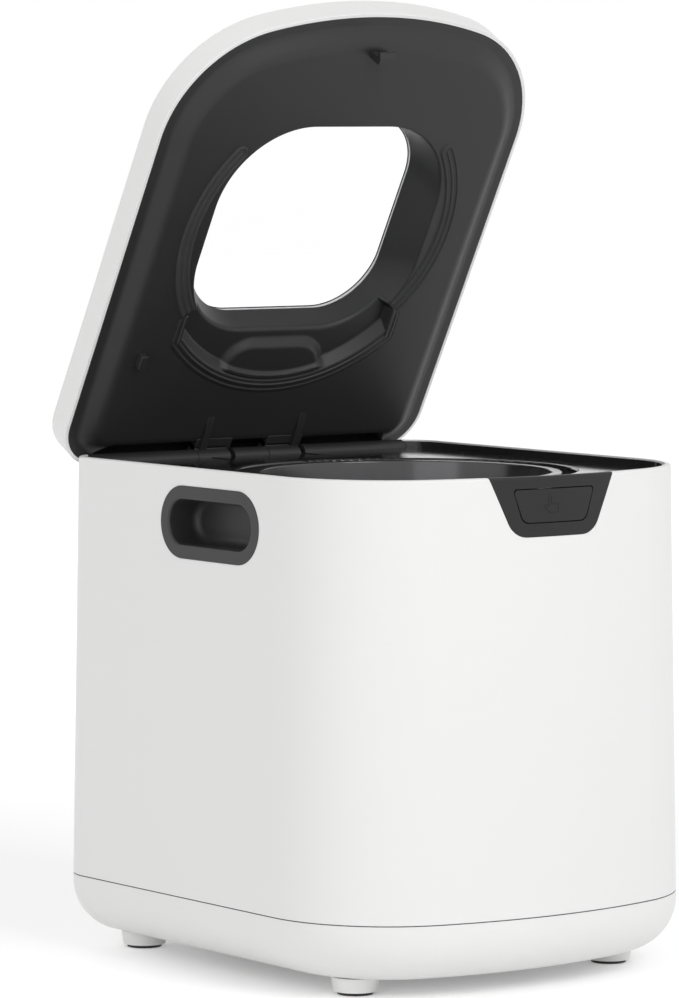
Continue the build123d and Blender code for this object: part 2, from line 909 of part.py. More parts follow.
for side, name in ((-1, "seal_left"), (1, "seal_right")):
    ring_middle = (ring_inner_radius + ring_outer_radius) / 2
    sweep_angle = ring_tip_angle - ring_gap_angle - seal_end_angle
    seal_paths = [
        CenterArc((0, ring_y), ring_middle + step * ridge_pitch, 90 - side * ring_tip_angle, side * sweep_angle)
        for step in (-1, 0, 1)
    ]
    with BuildPart() as seal:
        with BuildSketch(lid_plane(field_height)) as seal_strip:
            SlotArc(seal_paths[1], ring_outer_radius - ring_inner_radius)
        extrude(seal_strip.sketch, amount=-seal_base)
        with BuildSketch(lid_plane(field_height)) as seal_ridges:
            for path in seal_paths:
                SlotArc(path, ridge_width)
        extrude(seal_ridges.sketch, amount=-seal_base - ridge_height)
    finish(seal, name)

with BuildPart() as lid_window:
    extrude(
        rounded_square(
            lid_plane(pane_bottom),
            window_y,
            window_half_x + pane_lap,
            window_half_y + pane_lap,
            window_radius + pane_lap,
        ),
        amount=pane_thickness,
    )
finish(lid_window, "lid_window")

with BuildPart() as touch_panel:
    extrude(
        rounded_square(
            lid_plane(lid_top - panel_thickness),
            panel_y,
            panel_half_width,
            panel_half_depth,
            panel_radius,
        ),
        amount=panel_thickness,
    )
finish(touch_panel, "touch_panel")

with BuildPart() as touch_board:
    extrude(
        rounded_square(
            lid_plane(pane_top),
            panel_y,
            panel_half_width - board_inset,
            panel_half_depth - board_inset,
            panel_radius - board_inset,
        ),
        amount=-board_thickness,
    )
    extrude(
        rounded_square(lid_plane(pane_top - board_thickness), panel_y, chip_half_size, chip_half_size, 0.5),
        amount=-chip_height,
    )
finish(touch_board, "touch_board")

with BuildPart() as lid_hook:
    post_front = hook_y - hook_thickness / 2
    hook_end = field_height - hook_length
    catch_height = hook_end + hook_tooth
    with BuildSketch(lid_side_plane(-hook_width / 2)) as hook_profile:
        Polygon(
            (hook_y + hook_thickness / 2, field_height),
            (hook_y + hook_thickness / 2, hook_end),
            (post_front, hook_end),
            (post_front - hook_tooth, catch_height - 1),
            (post_front - hook_tooth, catch_height),
            (post_front, catch_height),
            (post_front, field_height),
            align=None,
        )
    extrude(hook_profile.sketch, amount=hook_width)
finish(lid_hook, "lid_hook")

# ---------------------------------------------------------------- latch


def wall_slice(thickness):
    """Front part of the drafted wall, in the part that is open."""
    extrude(body_profile(bezel_bottom - 5), amount=rim_height - bezel_bottom + 5, taper=wall_draft)
    extrude(
        body_profile(bezel_bottom - 5, thickness),
        amount=rim_height - bezel_bottom + 5,
        taper=wall_draft,
        mode=Mode.SUBTRACT,
    )


def button_outline(margin):
    """The button's outline on the front, grown by a margin."""
    return trapezoid(
        front_plane(-rear_face + 15),
        button_top + margin,
        button_bottom - margin,
        button_half_top + margin,
        button_half_bottom + margin,
        button_upper_radius,
        button_lower_radius,
    )


bezel_back_y = -rear_face - draft_growth(lever_z) + bezel_thickness
ear_inner = lever_half_width + moving_gap
ear_outer = ear_inner + ear_thickness
shelf_bottom = bezel_bottom + 0.8
spring_seat_y = lever_y + spring_seat_step
button_back_y = -rear_face - draft_growth(lever_z) + button_thickness

with BuildPart() as release_bezel:
    wall_slice(bezel_thickness)
    fillet(release_bezel.faces().sort_by(Axis.Z)[-1].outer_wire().edges(), rim_edge_radius)
    extrude(bezel_outline(0), amount=30, mode=Mode.INTERSECT)
    extrude(button_outline(button_gap), amount=30, mode=Mode.SUBTRACT)
    # Ears for the lever and seats for the springs, carried by the lower edge
    seat_inner = spring_x - spring_seat_half_width
    seat_outer = spring_x + spring_seat_half_width
    for side in (-1, 1):
        block(
            tuple(sorted((side * ear_inner, side * seat_outer))),
            (bezel_back_y - 0.5, lever_y + ear_depth),
            (shelf_bottom, shelf_bottom + ear_thickness),
        )
        block(
            tuple(sorted((side * ear_inner, side * ear_outer))),
            (lever_y - ear_depth, lever_y + ear_depth),
            (shelf_bottom, lever_z + ear_rise),
        )
        block(
            tuple(sorted((side * seat_inner, side * seat_outer))),
            (spring_seat_y, lever_y + ear_depth),
            (shelf_bottom, lever_z + spring_seat_rise),
        )
    rod((-ear_outer, lever_y, lever_z), (1, 0, 0), latch_pin_radius, 2 * ear_outer, Mode.SUBTRACT)
finish(release_bezel, "release_bezel")

with BuildPart() as latch_pin:
    rod((-ear_outer, lever_y, lever_z), (1, 0, 0), latch_pin_radius, 2 * ear_outer)
finish(latch_pin, "latch_pin")

with BuildPart() as release_button:
    wall_slice(button_thickness)
    extrude(button_outline(0), amount=30, mode=Mode.INTERSECT)
    # Pusher that reaches down behind the bezel to the lever
    pusher_back_y = bezel_back_y + pusher_depth
    pusher_bottom = pusher_height - pusher_thickness / 2
    block(
        (-pusher_half_width, pusher_half_width),
        (button_back_y - 0.6, pusher_back_y),
        (button_bottom + 1, button_bottom + 1 + pusher_thickness),
    )
    block(
        (-pusher_half_width, pusher_half_width),
        (bezel_back_y + moving_gap, pusher_back_y),
        (pusher_bottom, button_bottom + pusher_thickness),
    )
    block(
        (-pusher_half_width, pusher_half_width),
        (pusher_back_y, lever_y - lever_thickness / 2 - small_gap),
        (pusher_bottom, pusher_bottom + pusher_thickness),
    )
finish(release_button, "release_button")

with BuildPart() as latch_lever:
    nose_bottom = catch_height + small_gap
    with BuildSketch(Plane.YZ.offset(-lever_half_width)) as lever_profile:
        Polygon(
            (lever_y - lever_thickness / 2, lever_bottom),
            (lever_y + lever_thickness / 2, lever_bottom),
            (lever_y + lever_thickness / 2, nose_bottom),
            (lever_y + lever_thickness / 2 + nose_length, nose_bottom),
            (lever_y + lever_thickness / 2, nose_bottom + nose_height),
            (lever_y - lever_thickness / 2, nose_bottom + nose_height),
            align=None,
        )
        with Locations((lever_y, lever_z)):
            Circle(latch_pin_radius + lever_boss_wall)
            Circle(latch_pin_radius + running_gap, mode=Mode.SUBTRACT)
    extrude(lever_profile.sketch, amount=2 * lever_half_width)
finish(latch_lever, "latch_lever")

for side, name in ((-1, "button_spring_left"), (1, "button_spring_right")):
    with BuildPart() as button_spring:
        bow_at_spring = (spring_x + spring_radius) ** 2 / (2 * front_bow_radius)
        spring_start = button_back_y + bow_at_spring + spring_wire + 0.1
        spring_length = spring_seat_y - spring_wire - 0.1 - spring_start
        coil = Helix(
            pitch=spring_length / spring_turns,
            height=spring_length,
            radius=spring_radius,
            center=(side * spring_x, spring_start, lever_z),
            direction=(0, 1, 0),
        )
        with BuildSketch(Plane(coil @ 0, z_dir=coil % 0)) as wire:
            RegularPolygon(spring_wire, 4)
        sweep(wire.sketch, path=coil)
    finish(button_spring, name)

# ---------------------------------------------------------------- hand recesses

for side, name in ((-1, "hand_cup_left"), (1, "hand_cup_right")):
    with BuildPart() as hand_cup:
        extrude(hand_slot(side, hand_rebate, hand_flange_width), amount=hand_rebate + hand_flange_proud)
        extrude(
            hand_slot(side, hand_pocket_depth + hand_wall, hand_wall),
            amount=hand_pocket_depth + hand_wall - hand_rebate,
        )
        extrude(
            hand_slot(side, hand_pocket_depth, 0),
            amount=hand_pocket_depth + hand_flange_proud,
            mode=Mode.SUBTRACT,
        )
        outward = Axis((0, 0, 0), hand_plane(side, 0).z_dir)
        flat_faces = hand_cup.faces().filter_by(GeomType.PLANE).group_by(outward)
        mouth = flat_faces[-1][0]
        fillet(flat_faces[1][0].edges(), hand_floor_radius)
        fillet(mouth.inner_wires()[0].edges(), hand_mouth_radius)
    finish(hand_cup, name)

# ---------------------------------------------------------------- heated pot and bucket


def bowl(bottom, top, bottom_radius, top_radius, corner, mode=Mode.ADD):
    """Round tapered bowl about the bucket's axis, in the part that is open."""
    with BuildSketch(front_plane(bucket_y)) as half:
        Polygon(
            (0, bottom),
            (bottom_radius, bottom),
            (top_radius, top),
            (0, top),
            align=None,
        )
        fillet(half.vertices().group_by(Axis.Y)[0].sort_by(Axis.X)[-1], corner)
    revolve(half.sketch, axis=bucket_axis, mode=mode)


def ring(bottom, height, inner, outer):
    """Flat ring about the bucket's axis, in the part that is open."""
    with BuildSketch(Plane((0, bucket_y, bottom))) as section:
        Circle(outer)
        Circle(inner, mode=Mode.SUBTRACT)
    extrude(section.sketch, amount=height)


lip_bottom = bucket_top - bucket_lip_height
bucket_taper = (bucket_top_radius - bucket_bottom_radius) / (lip_bottom - bucket_bottom)
flange_top = well_skirt_bottom
pot_inner_top = bucket_top_radius + pot_clearance
pot_inner_bottom = bucket_bottom_radius + pot_clearance
pot_corner = bucket_corner_radius + pot_clearance


def pot_radius(height):
    """Outer radius of the pot's wall at a height."""
    return pot_inner_bottom + pot_wall + (height - pot_bottom) * pot_taper


pot_taper = (pot_inner_top - pot_inner_bottom) / (flange_top - pot_floor)

with BuildPart() as heating_pot:
    bowl(pot_bottom, flange_top, pot_radius(pot_bottom), pot_radius(flange_top), pot_corner + pot_wall)
    ring(flange_top - pot_wall, pot_wall, pot_inner_bottom, well_radius + well_wall)
    bowl(pot_floor, flange_top, pot_inner_bottom, pot_inner_top, pot_corner, Mode.SUBTRACT)
    rod((0, bucket_y, pot_bottom), (0, 0, 1), shaft_radius + running_gap, 10, Mode.SUBTRACT)
finish(heating_pot, "heating_pot")

with BuildPart() as pot_gasket:
    ring(flange_top, gasket_height, bucket_rim_radius + 0.5, well_radius - gasket_outer_gap)
finish(pot_gasket, "pot_gasket")

with BuildPart() as heater_band:
    with BuildSketch(front_plane(bucket_y)) as band:
        Polygon(
            (pot_radius(heater_bottom) + running_gap, heater_bottom),
            (pot_radius(heater_bottom) + heater_thickness, heater_bottom),
            (pot_radius(heater_top) + heater_thickness, heater_top),
            (pot_radius(heater_top) + running_gap, heater_top),
            align=None,
        )
    revolve(band.sketch, axis=bucket_axis, revolution_arc=heater_arc)
finish(heater_band, "heater_band")

with BuildPart() as pot_sensor:
    rod((sensor_offset, bucket_y, pot_bottom - sensor_height), (0, 0, 1), sensor_radius, sensor_height)
finish(pot_sensor, "pot_sensor")

with BuildPart() as bucket:
    bowl(bucket_bottom, lip_bottom, bucket_bottom_radius, bucket_top_radius, bucket_corner_radius)
    with BuildSketch(front_plane(bucket_y)) as lip:
        Polygon(
            (bucket_bottom_radius, lip_bottom),
            (bucket_rim_radius, lip_bottom),
            (bucket_rim_radius, bucket_top),
            (bucket_bottom_radius, bucket_top),
            align=None,
        )
        fillet(lip.vertices().sort_by(Axis.X)[-2:], bucket_lip_height * 0.45)
    revolve(lip.sketch, axis=bucket_axis)
    inner_top = bucket_top_radius - bucket_wall + bucket_taper * bucket_lip_height
    bowl(
        bucket_floor,
        bucket_top,
        bucket_bottom_radius - bucket_wall,
        inner_top,
        bucket_corner_radius - bucket_wall,
        Mode.SUBTRACT,
    )
    fillet(
        bucket.edges().filter_by(GeomType.CIRCLE).group_by(Axis.Z)[-1].sort_by(SortBy.RADIUS)[0],
        bucket_lip_height * 0.3,
    )
    # Hollow dome over the coupling
    with Locations((0, bucket_y, bucket_bottom)):
        Cone(
            dome_radius,
            dome_top_radius,
            dome_top - bucket_bottom,
            align=(Align.CENTER, Align.CENTER, Align.MIN),
        )
        Cone(
            dome_radius - bucket_wall,
            dome_top_radius - bucket_wall,
            dome_top - bucket_bottom - bucket_wall,
            align=(Align.CENTER, Align.CENTER, Align.MIN),
            mode=Mode.SUBTRACT,
        )
    rod((0, bucket_y, bucket_floor), (0, 0, 1), bush_radius + running_gap, dome_height, Mode.SUBTRACT)
finish(bucket, "bucket")

with BuildPart() as bucket_bush:
    rod((0, bucket_y, dome_top - bush_length), (0, 0, 1), bush_radius, bush_length)
    rod((0, bucket_y, dome_top), (0, 0, 1), bush_radius + bush_flange, bush_flange)
    rod(
        (0, bucket_y, dome_top - bush_length),
        (0, 0, 1),
        spindle_radius + running_gap,
        bush_length + bush_flange,
        Mode.SUBTRACT,
    )
finish(bucket_bush, "bucket_bush")

# ---------------------------------------------------------------- coupling and blade

dog_bottom = pot_floor + small_gap
dog_top = dog_bottom + dog_height
wing_bottom = dog_top + small_gap
hub_bottom = dome_top + bush_flange + small_gap
blade_bottom = bucket_floor + blade_floor_gap
lug_angle = math.degrees(math.asin((wing_width / 2 + lug_radius + moving_gap) / lug_orbit))

arm_paths = [RadiusArc((0, 0), (tip, 0), blade_sweep_radius) for tip in (blade_reach, -blade_reach)]

with BuildPart() as stirring_blade:
    rod((0, bucket_y, hub_bottom), (0, 0, 1), hub_radius, hub_height)
    fillet(stirring_blade.faces().sort_by(Axis.Z)[-1].edges(), hub_radius * 0.6)
    # Two swept arms that get lower towards their tips
    with BuildSketch(Plane((0, bucket_y, blade_bottom))) as arms:
        for path in arm_paths:
            SlotArc(path, blade_thickness)
    extrude(arms.sketch, amount=blade_height)
    share = blade_tip_height / blade_height
    with Locations((0, bucket_y, blade_bottom)):
        Cone(
            (blade_reach - hub_radius * share) / (1 - share),
            hub_radius,
            hub_bottom + hub_height - blade_bottom,
            align=(Align.CENTER, Align.CENTER, Align.MIN),
            mode=Mode.INTERSECT,
        )
        Cone(
            dome_radius + 3 * moving_gap,
            dome_top_radius + 3 * moving_gap,
            hub_bottom - blade_bottom,
            align=(Align.CENTER, Align.CENTER, Align.MIN),
            mode=Mode.SUBTRACT,
        )
    # Spindle through the bush, with the wing that the coupling turns
    rod((0, bucket_y, wing_bottom), (0, 0, 1), spindle_radius, hub_bottom - wing_bottom + 1)
    with Locations((0, bucket_y, wing_bottom)):
        Box(
            2 * (dog_radius - wing_end_gap),
            wing_width,
            wing_height,
            align=(Align.CENTER, Align.CENTER, Align.MIN),
        )
finish(stirring_blade, "stirring_blade")

with BuildPart() as drive_dog:
    rod((0, bucket_y, dog_bottom), (0, 0, 1), dog_radius, dog_height)
    with Locations((0, bucket_y, dog_top)):
        with PolarLocations(lug_orbit, 2, start_angle=lug_angle):
            Cylinder(lug_radius, lug_height, align=(Align.CENTER, Align.CENTER, Align.MIN))
    rod((0, bucket_y, dog_bottom), (0, 0, 1), shaft_radius, dog_height, Mode.SUBTRACT)
finish(drive_dog, "drive_dog")

# ---------------------------------------------------------------- gears and motor


def gear(x, y, bottom, face_width, teeth, tooth_at):
    """Spur gear with involute flanks and one tooth centred at an angle, in the part that is open."""
    pitch_radius = gear_module * teeth / 2
    base_radius = pitch_radius * math.cos(math.radians(pressure_angle))
    root_radius = pitch_radius - gear_dedendum * gear_module
    tip_radius = pitch_radius + gear_addendum * gear_module
    start_radius = max(base_radius, root_radius)
    half_at_pitch = math.pi / (2 * teeth) - tooth_backlash / (4 * pitch_radius)
    pitch_roll = math.tan(math.radians(pressure_angle)) - math.radians(pressure_angle)
    flank = [(root_radius - 0.2, half_at_pitch + pitch_roll)]
    for step in range(4):
        radius = start_radius + (tip_radius - start_radius) * step / 3
        angle = math.acos(min(1.0, base_radius / radius))
        flank.append((radius, half_at_pitch + pitch_roll - (math.tan(angle) - angle)))
    if root_radius > base_radius:
        flank[0] = (root_radius - 0.2, flank[1][1])
    lower = [(r * math.cos(a), -r * math.sin(a)) for r, a in flank]
    upper = [(r * math.cos(a), r * math.sin(a)) for r, a in reversed(flank)]
    with BuildSketch(Plane((x, y, bottom))) as outline:
        Circle(root_radius)
        with PolarLocations(0, teeth, start_angle=tooth_at):
            Polygon(*lower, *upper, align=None)
    extrude(outline.sketch, amount=face_width)


centre_distance = gear_module * (pinion_teeth + wheel_teeth) / 2 + mesh_gap
compound_x = centre_distance * math.cos(math.radians(compound_angle))
compound_y = bucket_y + centre_distance * math.sin(math.radians(compound_angle))
motor_x = compound_x + centre_distance * math.cos(math.radians(motor_angle))
motor_y = compound_y + centre_distance * math.sin(math.radians(motor_angle))
case_floor = gearbox_floor + gearbox_wall
lower_layer = case_floor + gear_layer_gap
upper_layer = lower_layer + gear_face + gear_layer_gap
cover_bottom = upper_layer + gear_face + gear_layer_gap
cover_top = cover_bottom + gearbox_wall
half_pinion_pitch = 180 / pinion_teeth

with BuildPart() as drive_shaft:
    rod((0, bucket_y, case_floor), (0, 0, 1), shaft_radius, dog_top - case_floor)
finish(drive_shaft, "drive_shaft")

with BuildPart() as output_gear:
    gear(0, bucket_y, upper_layer, gear_face, wheel_teeth, compound_angle)
    rod((0, bucket_y, lower_layer), (0, 0, 1), gear_hub_radius, upper_layer - lower_layer)
    with Locations((0, bucket_y, upper_layer)):
        with PolarLocations(wheel_hole_orbit, 6):
            Cylinder(
                wheel_hole_radius,
                gear_face,
                align=(Align.CENTER, Align.CENTER, Align.MIN),
                mode=Mode.SUBTRACT,
            )
    rod((0, bucket_y, lower_layer), (0, 0, 1), shaft_radius, 2 * gear_face + gear_layer_gap, Mode.SUBTRACT)
finish(output_gear, "output_gear")

with BuildPart() as compound_gear:
    gear(compound_x, compound_y, lower_layer, gear_face, wheel_teeth, motor_angle)
    gear(
        compound_x,
        compound_y,
        lower_layer + gear_face,
        gear_layer_gap + gear_face,
        pinion_teeth,
        compound_angle + 180 + half_pinion_pitch,
    )
    rod(
        (compound_x, compound_y, lower_layer),
        (0, 0, 1),
        gear_pin_radius + running_gap,
        2 * gear_face + gear_layer_gap,
        Mode.SUBTRACT,
    )
finish(compound_gear, "compound_gear")

with BuildPart() as gear_pin:
    rod((compound_x, compound_y, case_floor), (0, 0, 1), gear_pin_radius, cover_bottom - case_floor)
finish(gear_pin, "gear_pin")

with BuildPart() as motor_pinion:
    gear(motor_x, motor_y, lower_layer, gear_face, pinion_teeth, motor_angle + 180 + half_pinion_pitch)
    rod(
        (motor_x, motor_y, lower_layer),
        (0, 0, 1),
        motor_shaft_radius,
        cover_top - lower_layer + motor_shaft_depth,
    )
finish(motor_pinion, "motor_pinion")

wheel_space = gear_module * (wheel_teeth / 2 + gear_addendum) + gearbox_gap
pinion_space = gear_module * (pinion_teeth / 2 + gear_addendum) + gearbox_gap


def gearbox_outline(height, margin):
    """Taut outline round the gears, grown by a margin."""
    with BuildSketch(Plane.XY.offset(height)) as outline:
        with Locations((0, bucket_y)):
            Circle(wheel_space + margin)
        with Locations((compound_x, compound_y)):
            Circle(wheel_space + margin)
        with Locations((motor_x, motor_y)):
            Circle(pinion_space + margin)
        make_hull()
    return outline.sketch


legs = [
    (-leg_offset, bucket_y - leg_offset),
    (compound_x - leg_offset, compound_y + leg_offset / 2),
    (motor_x, motor_y - pinion_space / 2),
]

with BuildPart() as gearbox_case:
    extrude(gearbox_outline(gearbox_floor, gearbox_wall), amount=cover_bottom - gearbox_floor)
    extrude(gearbox_outline(case_floor, 0), amount=cover_bottom - case_floor, mode=Mode.SUBTRACT)
    for x, y in legs:
        rod((x, y, base_bottom + base_wall), (0, 0, 1), leg_radius, gearbox_floor - base_bottom - base_wall)
finish(gearbox_case, "gearbox_case")

with BuildPart() as gearbox_cover:
    extrude(gearbox_outline(cover_bottom, gearbox_wall), amount=gearbox_wall)
    # Tall boss that carries the pot and guides the shaft
    rod((0, bucket_y, cover_top), (0, 0, 1), boss_radius, pot_bottom - cover_top)
    rod(
        (0, bucket_y, cover_bottom),
        (0, 0, 1),
        shaft_radius + running_gap,
        pot_bottom - cover_bottom,
        Mode.SUBTRACT,
    )
    rod(
        (motor_x, motor_y, cover_bottom),
        (0, 0, 1),
        motor_shaft_radius + moving_gap,
        gearbox_wall,
        Mode.SUBTRACT,
    )
    boss_edges = gearbox_cover.edges().filter_by(GeomType.CIRCLE)
    boss_edges = boss_edges.filter_by(lambda edge: abs(edge.radius - boss_radius) < 0.01)
    fillet(boss_edges.sort_by(Axis.Z)[0], boss_radius / 3)
finish(gearbox_cover, "gearbox_cover")

with BuildPart() as motor:
    rod((motor_x, motor_y, cover_top), (0, 0, 1), motor_radius, motor_length)
    fillet(motor.edges().filter_by(GeomType.CIRCLE), motor_edge_radius)
    rod((motor_x, motor_y, cover_top + motor_length), (0, 0, 1), motor_radius / 3, motor_cap_height)
    for side in (-1, 1):
        block(
            (motor_x + side * motor_radius / 2 - 0.4, motor_x + side * motor_radius / 2 + 0.4),
            (motor_y - 3, motor_y + 3),
            (cover_top + motor_length, cover_top + motor_length + 2 * motor_cap_height),
        )
    rod(
        (motor_x, motor_y, cover_top),
        (0, 0, 1),
        motor_shaft_radius + running_gap,
        motor_shaft_depth + moving_gap,
        Mode.SUBTRACT,
    )
finish(motor, "motor")

# ---------------------------------------------------------------- fan, duct and filter

fan_back_y = fan_front_y + fan_depth
rotor_front_y = fan_front_y + fan_wall + rotor_gap


def body_space(inset):
    """Space inside the drafted wall, kept in the part that is open."""
    extrude(body_profile(seam_height, inset), amount=shell_height, taper=wall_draft, mode=Mode.INTERSECT)


with BuildPart() as fan_housing:
    with BuildSketch(front_plane(fan_back_y)) as fan_outline:
        with Locations((fan_x, fan_z)):
            RectangleRounded(2 * fan_half_size, 2 * fan_half_size, fan_corner_radius)
    extrude(fan_outline.sketch, amount=fan_depth)
    with BuildSketch(front_plane(fan_back_y - fan_wall)) as fan_scroll:
        with Locations((fan_x, fan_z)):
            Circle(fan_half_size - fan_wall)
        with Locations((fan_x + fan_half_size / 2, duct_z)):
            Rectangle(fan_half_size, duct_height)
    extrude(fan_scroll.sketch, amount=fan_depth - 2 * fan_wall, mode=Mode.SUBTRACT)
    rod((fan_x, fan_front_y, fan_z), (0, 1, 0), fan_inlet_radius, fan_wall, Mode.SUBTRACT)
    # Stub for the rotor, and posts to the back wall
    rod((fan_x, fan_back_y - fan_wall, fan_z), (0, -1, 0), fan_stub_radius, rotor_depth)
    for side in (-1, 1):
        post_z = fan_z + side * (fan_half_size - 8)
        post_end = rear_face + draft_growth(post_z + 4) - body_wall - seat_gap
        rod((fan_x, fan_back_y, post_z), (0, 1, 0), 4, post_end - fan_back_y)
finish(fan_housing, "fan_housing")

with BuildPart() as fan_rotor:
    rotor_back_y = fan_back_y - fan_wall - rotor_gap
    rod((fan_x, rotor_back_y, fan_z), (0, -1, 0), rotor_radius, rotor_plate)
    rod((fan_x, rotor_back_y, fan_z), (0, -1, 0), rotor_hub_radius, rotor_depth - 2)
    with BuildSketch(front_plane(rotor_back_y - rotor_plate)) as vanes:
        with Locations((fan_x, fan_z)):
            with PolarLocations(rotor_radius - vane_length / 2 - 1, rotor_blades):
                Rectangle(vane_length, vane_thickness, rotation=30)
    extrude(vanes.sketch, amount=rotor_depth - rotor_plate)
    rod(
        (fan_x, rotor_back_y, fan_z),
        (0, -1, 0),
        fan_stub_radius + running_gap,
        rotor_depth - 2,
        Mode.SUBTRACT,
    )
finish(fan_rotor, "fan_rotor")

duct_front_y = fan_front_y + fan_wall
duct_back_y = fan_back_y - fan_wall
duct_left = fan_x + fan_half_size

with BuildPart() as air_duct:
    block(
        (duct_left, sleeve_left),
        (duct_front_y, duct_back_y),
        (duct_z - duct_height / 2 - fan_wall, duct_z + duct_height / 2 + fan_wall),
    )
    block(
        (duct_left, sleeve_left),
        (duct_front_y + fan_wall, duct_back_y - fan_wall),
        (duct_z - duct_height / 2, duct_z + duct_height / 2),
        Mode.SUBTRACT,
    )
finish(air_duct, "air_duct")

with BuildPart() as filter_sleeve:
    block((sleeve_left, sleeve_right), (sleeve_front_y, rear_face + 10), (sleeve_bottom, sleeve_top))
    body_space(body_wall + seat_gap)
    block(
        (sleeve_left + sleeve_wall, sleeve_right - sleeve_wall),
        (sleeve_front_y + sleeve_wall, rear_face + 10),
        (sleeve_bottom + sleeve_wall, sleeve_top - sleeve_wall),
        Mode.SUBTRACT,
    )
    block(
        (sleeve_left, sleeve_left + sleeve_wall),
        (duct_front_y + fan_wall, duct_back_y - fan_wall),
        (duct_z - duct_height / 2, duct_z + duct_height / 2),
        Mode.SUBTRACT,
    )
finish(filter_sleeve, "filter_sleeve")

drawer_left = sleeve_left + sleeve_wall + filter_gap
drawer_right = sleeve_right - sleeve_wall - filter_gap
drawer_bottom = sleeve_bottom + sleeve_wall + filter_gap
drawer_top = sleeve_top - sleeve_wall - filter_gap
drawer_front_y = sleeve_front_y + sleeve_wall + 2 * filter_gap
drawer_face_y = rear_face + draft_growth(drawer_top) - drawer_face_thickness

with BuildPart() as filter_drawer:
    block((drawer_left, drawer_right), (drawer_front_y, rear_face + 10), (drawer_bottom, drawer_top))
    body_space(0)
    # Tray open at the top and to the duct
    block(
        (drawer_left + drawer_wall, drawer_right - drawer_wall),
        (drawer_front_y + drawer_wall, drawer_face_y),
        (drawer_bottom + drawer_wall, drawer_top),
        Mode.SUBTRACT,
    )
    block(
        (drawer_left, drawer_left + drawer_wall),
        (duct_front_y + fan_wall, duct_back_y - fan_wall),
        (duct_z - duct_height / 2, drawer_top),
        Mode.SUBTRACT,
    )
    # Outlet slots and a finger slot in the face
    with BuildSketch(front_plane(rear_face + 10)) as grille:
        with Locations(((drawer_left + drawer_right) / 2, drawer_bottom + drawer_slot_height / 2 + 9)):
            with GridLocations(drawer_slot_pitch, 1, drawer_slots, 1):
                SlotOverall(drawer_slot_height, drawer_slot_width, rotation=90)
        with Locations(((drawer_left + drawer_right) / 2, drawer_top - 12)):
            SlotOverall(finger_slot_length, finger_slot_width)
    extrude(grille.sketch, amount=10 + rear_face - drawer_face_y, mode=Mode.SUBTRACT)
finish(filter_drawer, "filter_drawer")

with BuildPart() as carbon_filter:
    block(
        (drawer_left + drawer_wall + filter_gap, drawer_right - drawer_wall - filter_gap),
        (drawer_front_y + drawer_wall + filter_gap, drawer_face_y - filter_clearance),
        (drawer_bottom + drawer_wall, drawer_top - finger_slot_width - 12),
    )
    chamfer(carbon_filter.edges().filter_by(Axis.Z), 1.5)
finish(carbon_filter, "carbon_filter")

# ---------------------------------------------------------------- electrical pieces

with BuildPart() as power_board:
    block((board_left, board_right), (board_y, board_y + board_thickness), (board_bottom, board_top))
    # Transformer, capacitor and relay on the front of the board
    block(
        (board_left + transformer_inset, board_left + transformer_inset + transformer_width),
        (board_y - transformer_depth, board_y),
        (board_bottom + transformer_inset, board_bottom + transformer_inset + transformer_height),
    )
    rod(
        (board_right - capacitor_inset, board_y, board_bottom + capacitor_rise),
        (0, -1, 0),
        capacitor_radius,
        capacitor_length,
    )
    block(
        (board_right - relay_inset - relay_width, board_right - relay_inset),
        (board_y - relay_depth, board_y),
        (board_top - relay_inset - relay_height, board_top - relay_inset),
    )
finish(power_board, "power_board")

inlet_back = rear_face + draft_growth(inlet_z + inlet_flange_height / 2) - body_wall - seat_gap
inlet_face = rear_face + draft_growth(inlet_z + inlet_height / 2)

with BuildPart() as mains_inlet:
    with BuildSketch(rear_plane(inlet_back)) as inlet_flange:
        with Locations((-inlet_x, inlet_z)):
            RectangleRounded(inlet_flange_width, inlet_flange_height, 3)
    extrude(inlet_flange.sketch, amount=-inlet_flange_thickness)
    with BuildSketch(rear_plane(inlet_face)) as inlet_body:
        with Locations((-inlet_x, inlet_z)):
            Rectangle(inlet_width, inlet_height)
            chamfer(inlet_body.vertices().group_by(Axis.Y)[-1], inlet_height / 5)
    extrude(inlet_body.sketch, amount=-inlet_depth)
    with BuildSketch(rear_plane(inlet_face)) as inlet_cavity:
        with Locations((-inlet_x, inlet_z)):
            Rectangle(inlet_width - 2 * inlet_wall, inlet_height - 2 * inlet_wall)
            chamfer(inlet_cavity.vertices().group_by(Axis.Y)[-1], inlet_height / 6)
    extrude(inlet_cavity.sketch, amount=-inlet_cavity_depth, mode=Mode.SUBTRACT)
finish(mains_inlet, "mains_inlet")

for number, (x, z) in enumerate(((-7, -2), (0, 2), (7, -2)), start=1):
    with BuildPart() as inlet_blade:
        block(
            (inlet_x + x - 1, inlet_x + x + 1),
            (inlet_face - inlet_cavity_depth, inlet_face - 3),
            (inlet_z + z - 2, inlet_z + z + 2),
        )
    finish(inlet_blade, "inlet_blade_%d" % number)

with BuildPart() as lid_switch:
    switch_top = field_height - tab_drop - small_gap
    switch_half_y = tab_length / 2 + 3.5
    block(
        (tab_x - 6, tab_x + 6),
        (tab_y - switch_half_y - 2, tab_y + switch_half_y + 2),
        (switch_top - 12, switch_top),
    )
    for side in (-1, 1):
        block(
            (tab_x - 6, tab_x + 6),
            tuple(sorted((tab_y + side * switch_half_y, tab_y + side * (switch_half_y + 2)))),
            (switch_top, deck_bottom),
        )
finish(lid_switch, "lid_switch")
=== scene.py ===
"""Looks of a countertop food-waste composter, laid out as an add-on with one operator for each group of pieces."""
import json
import math

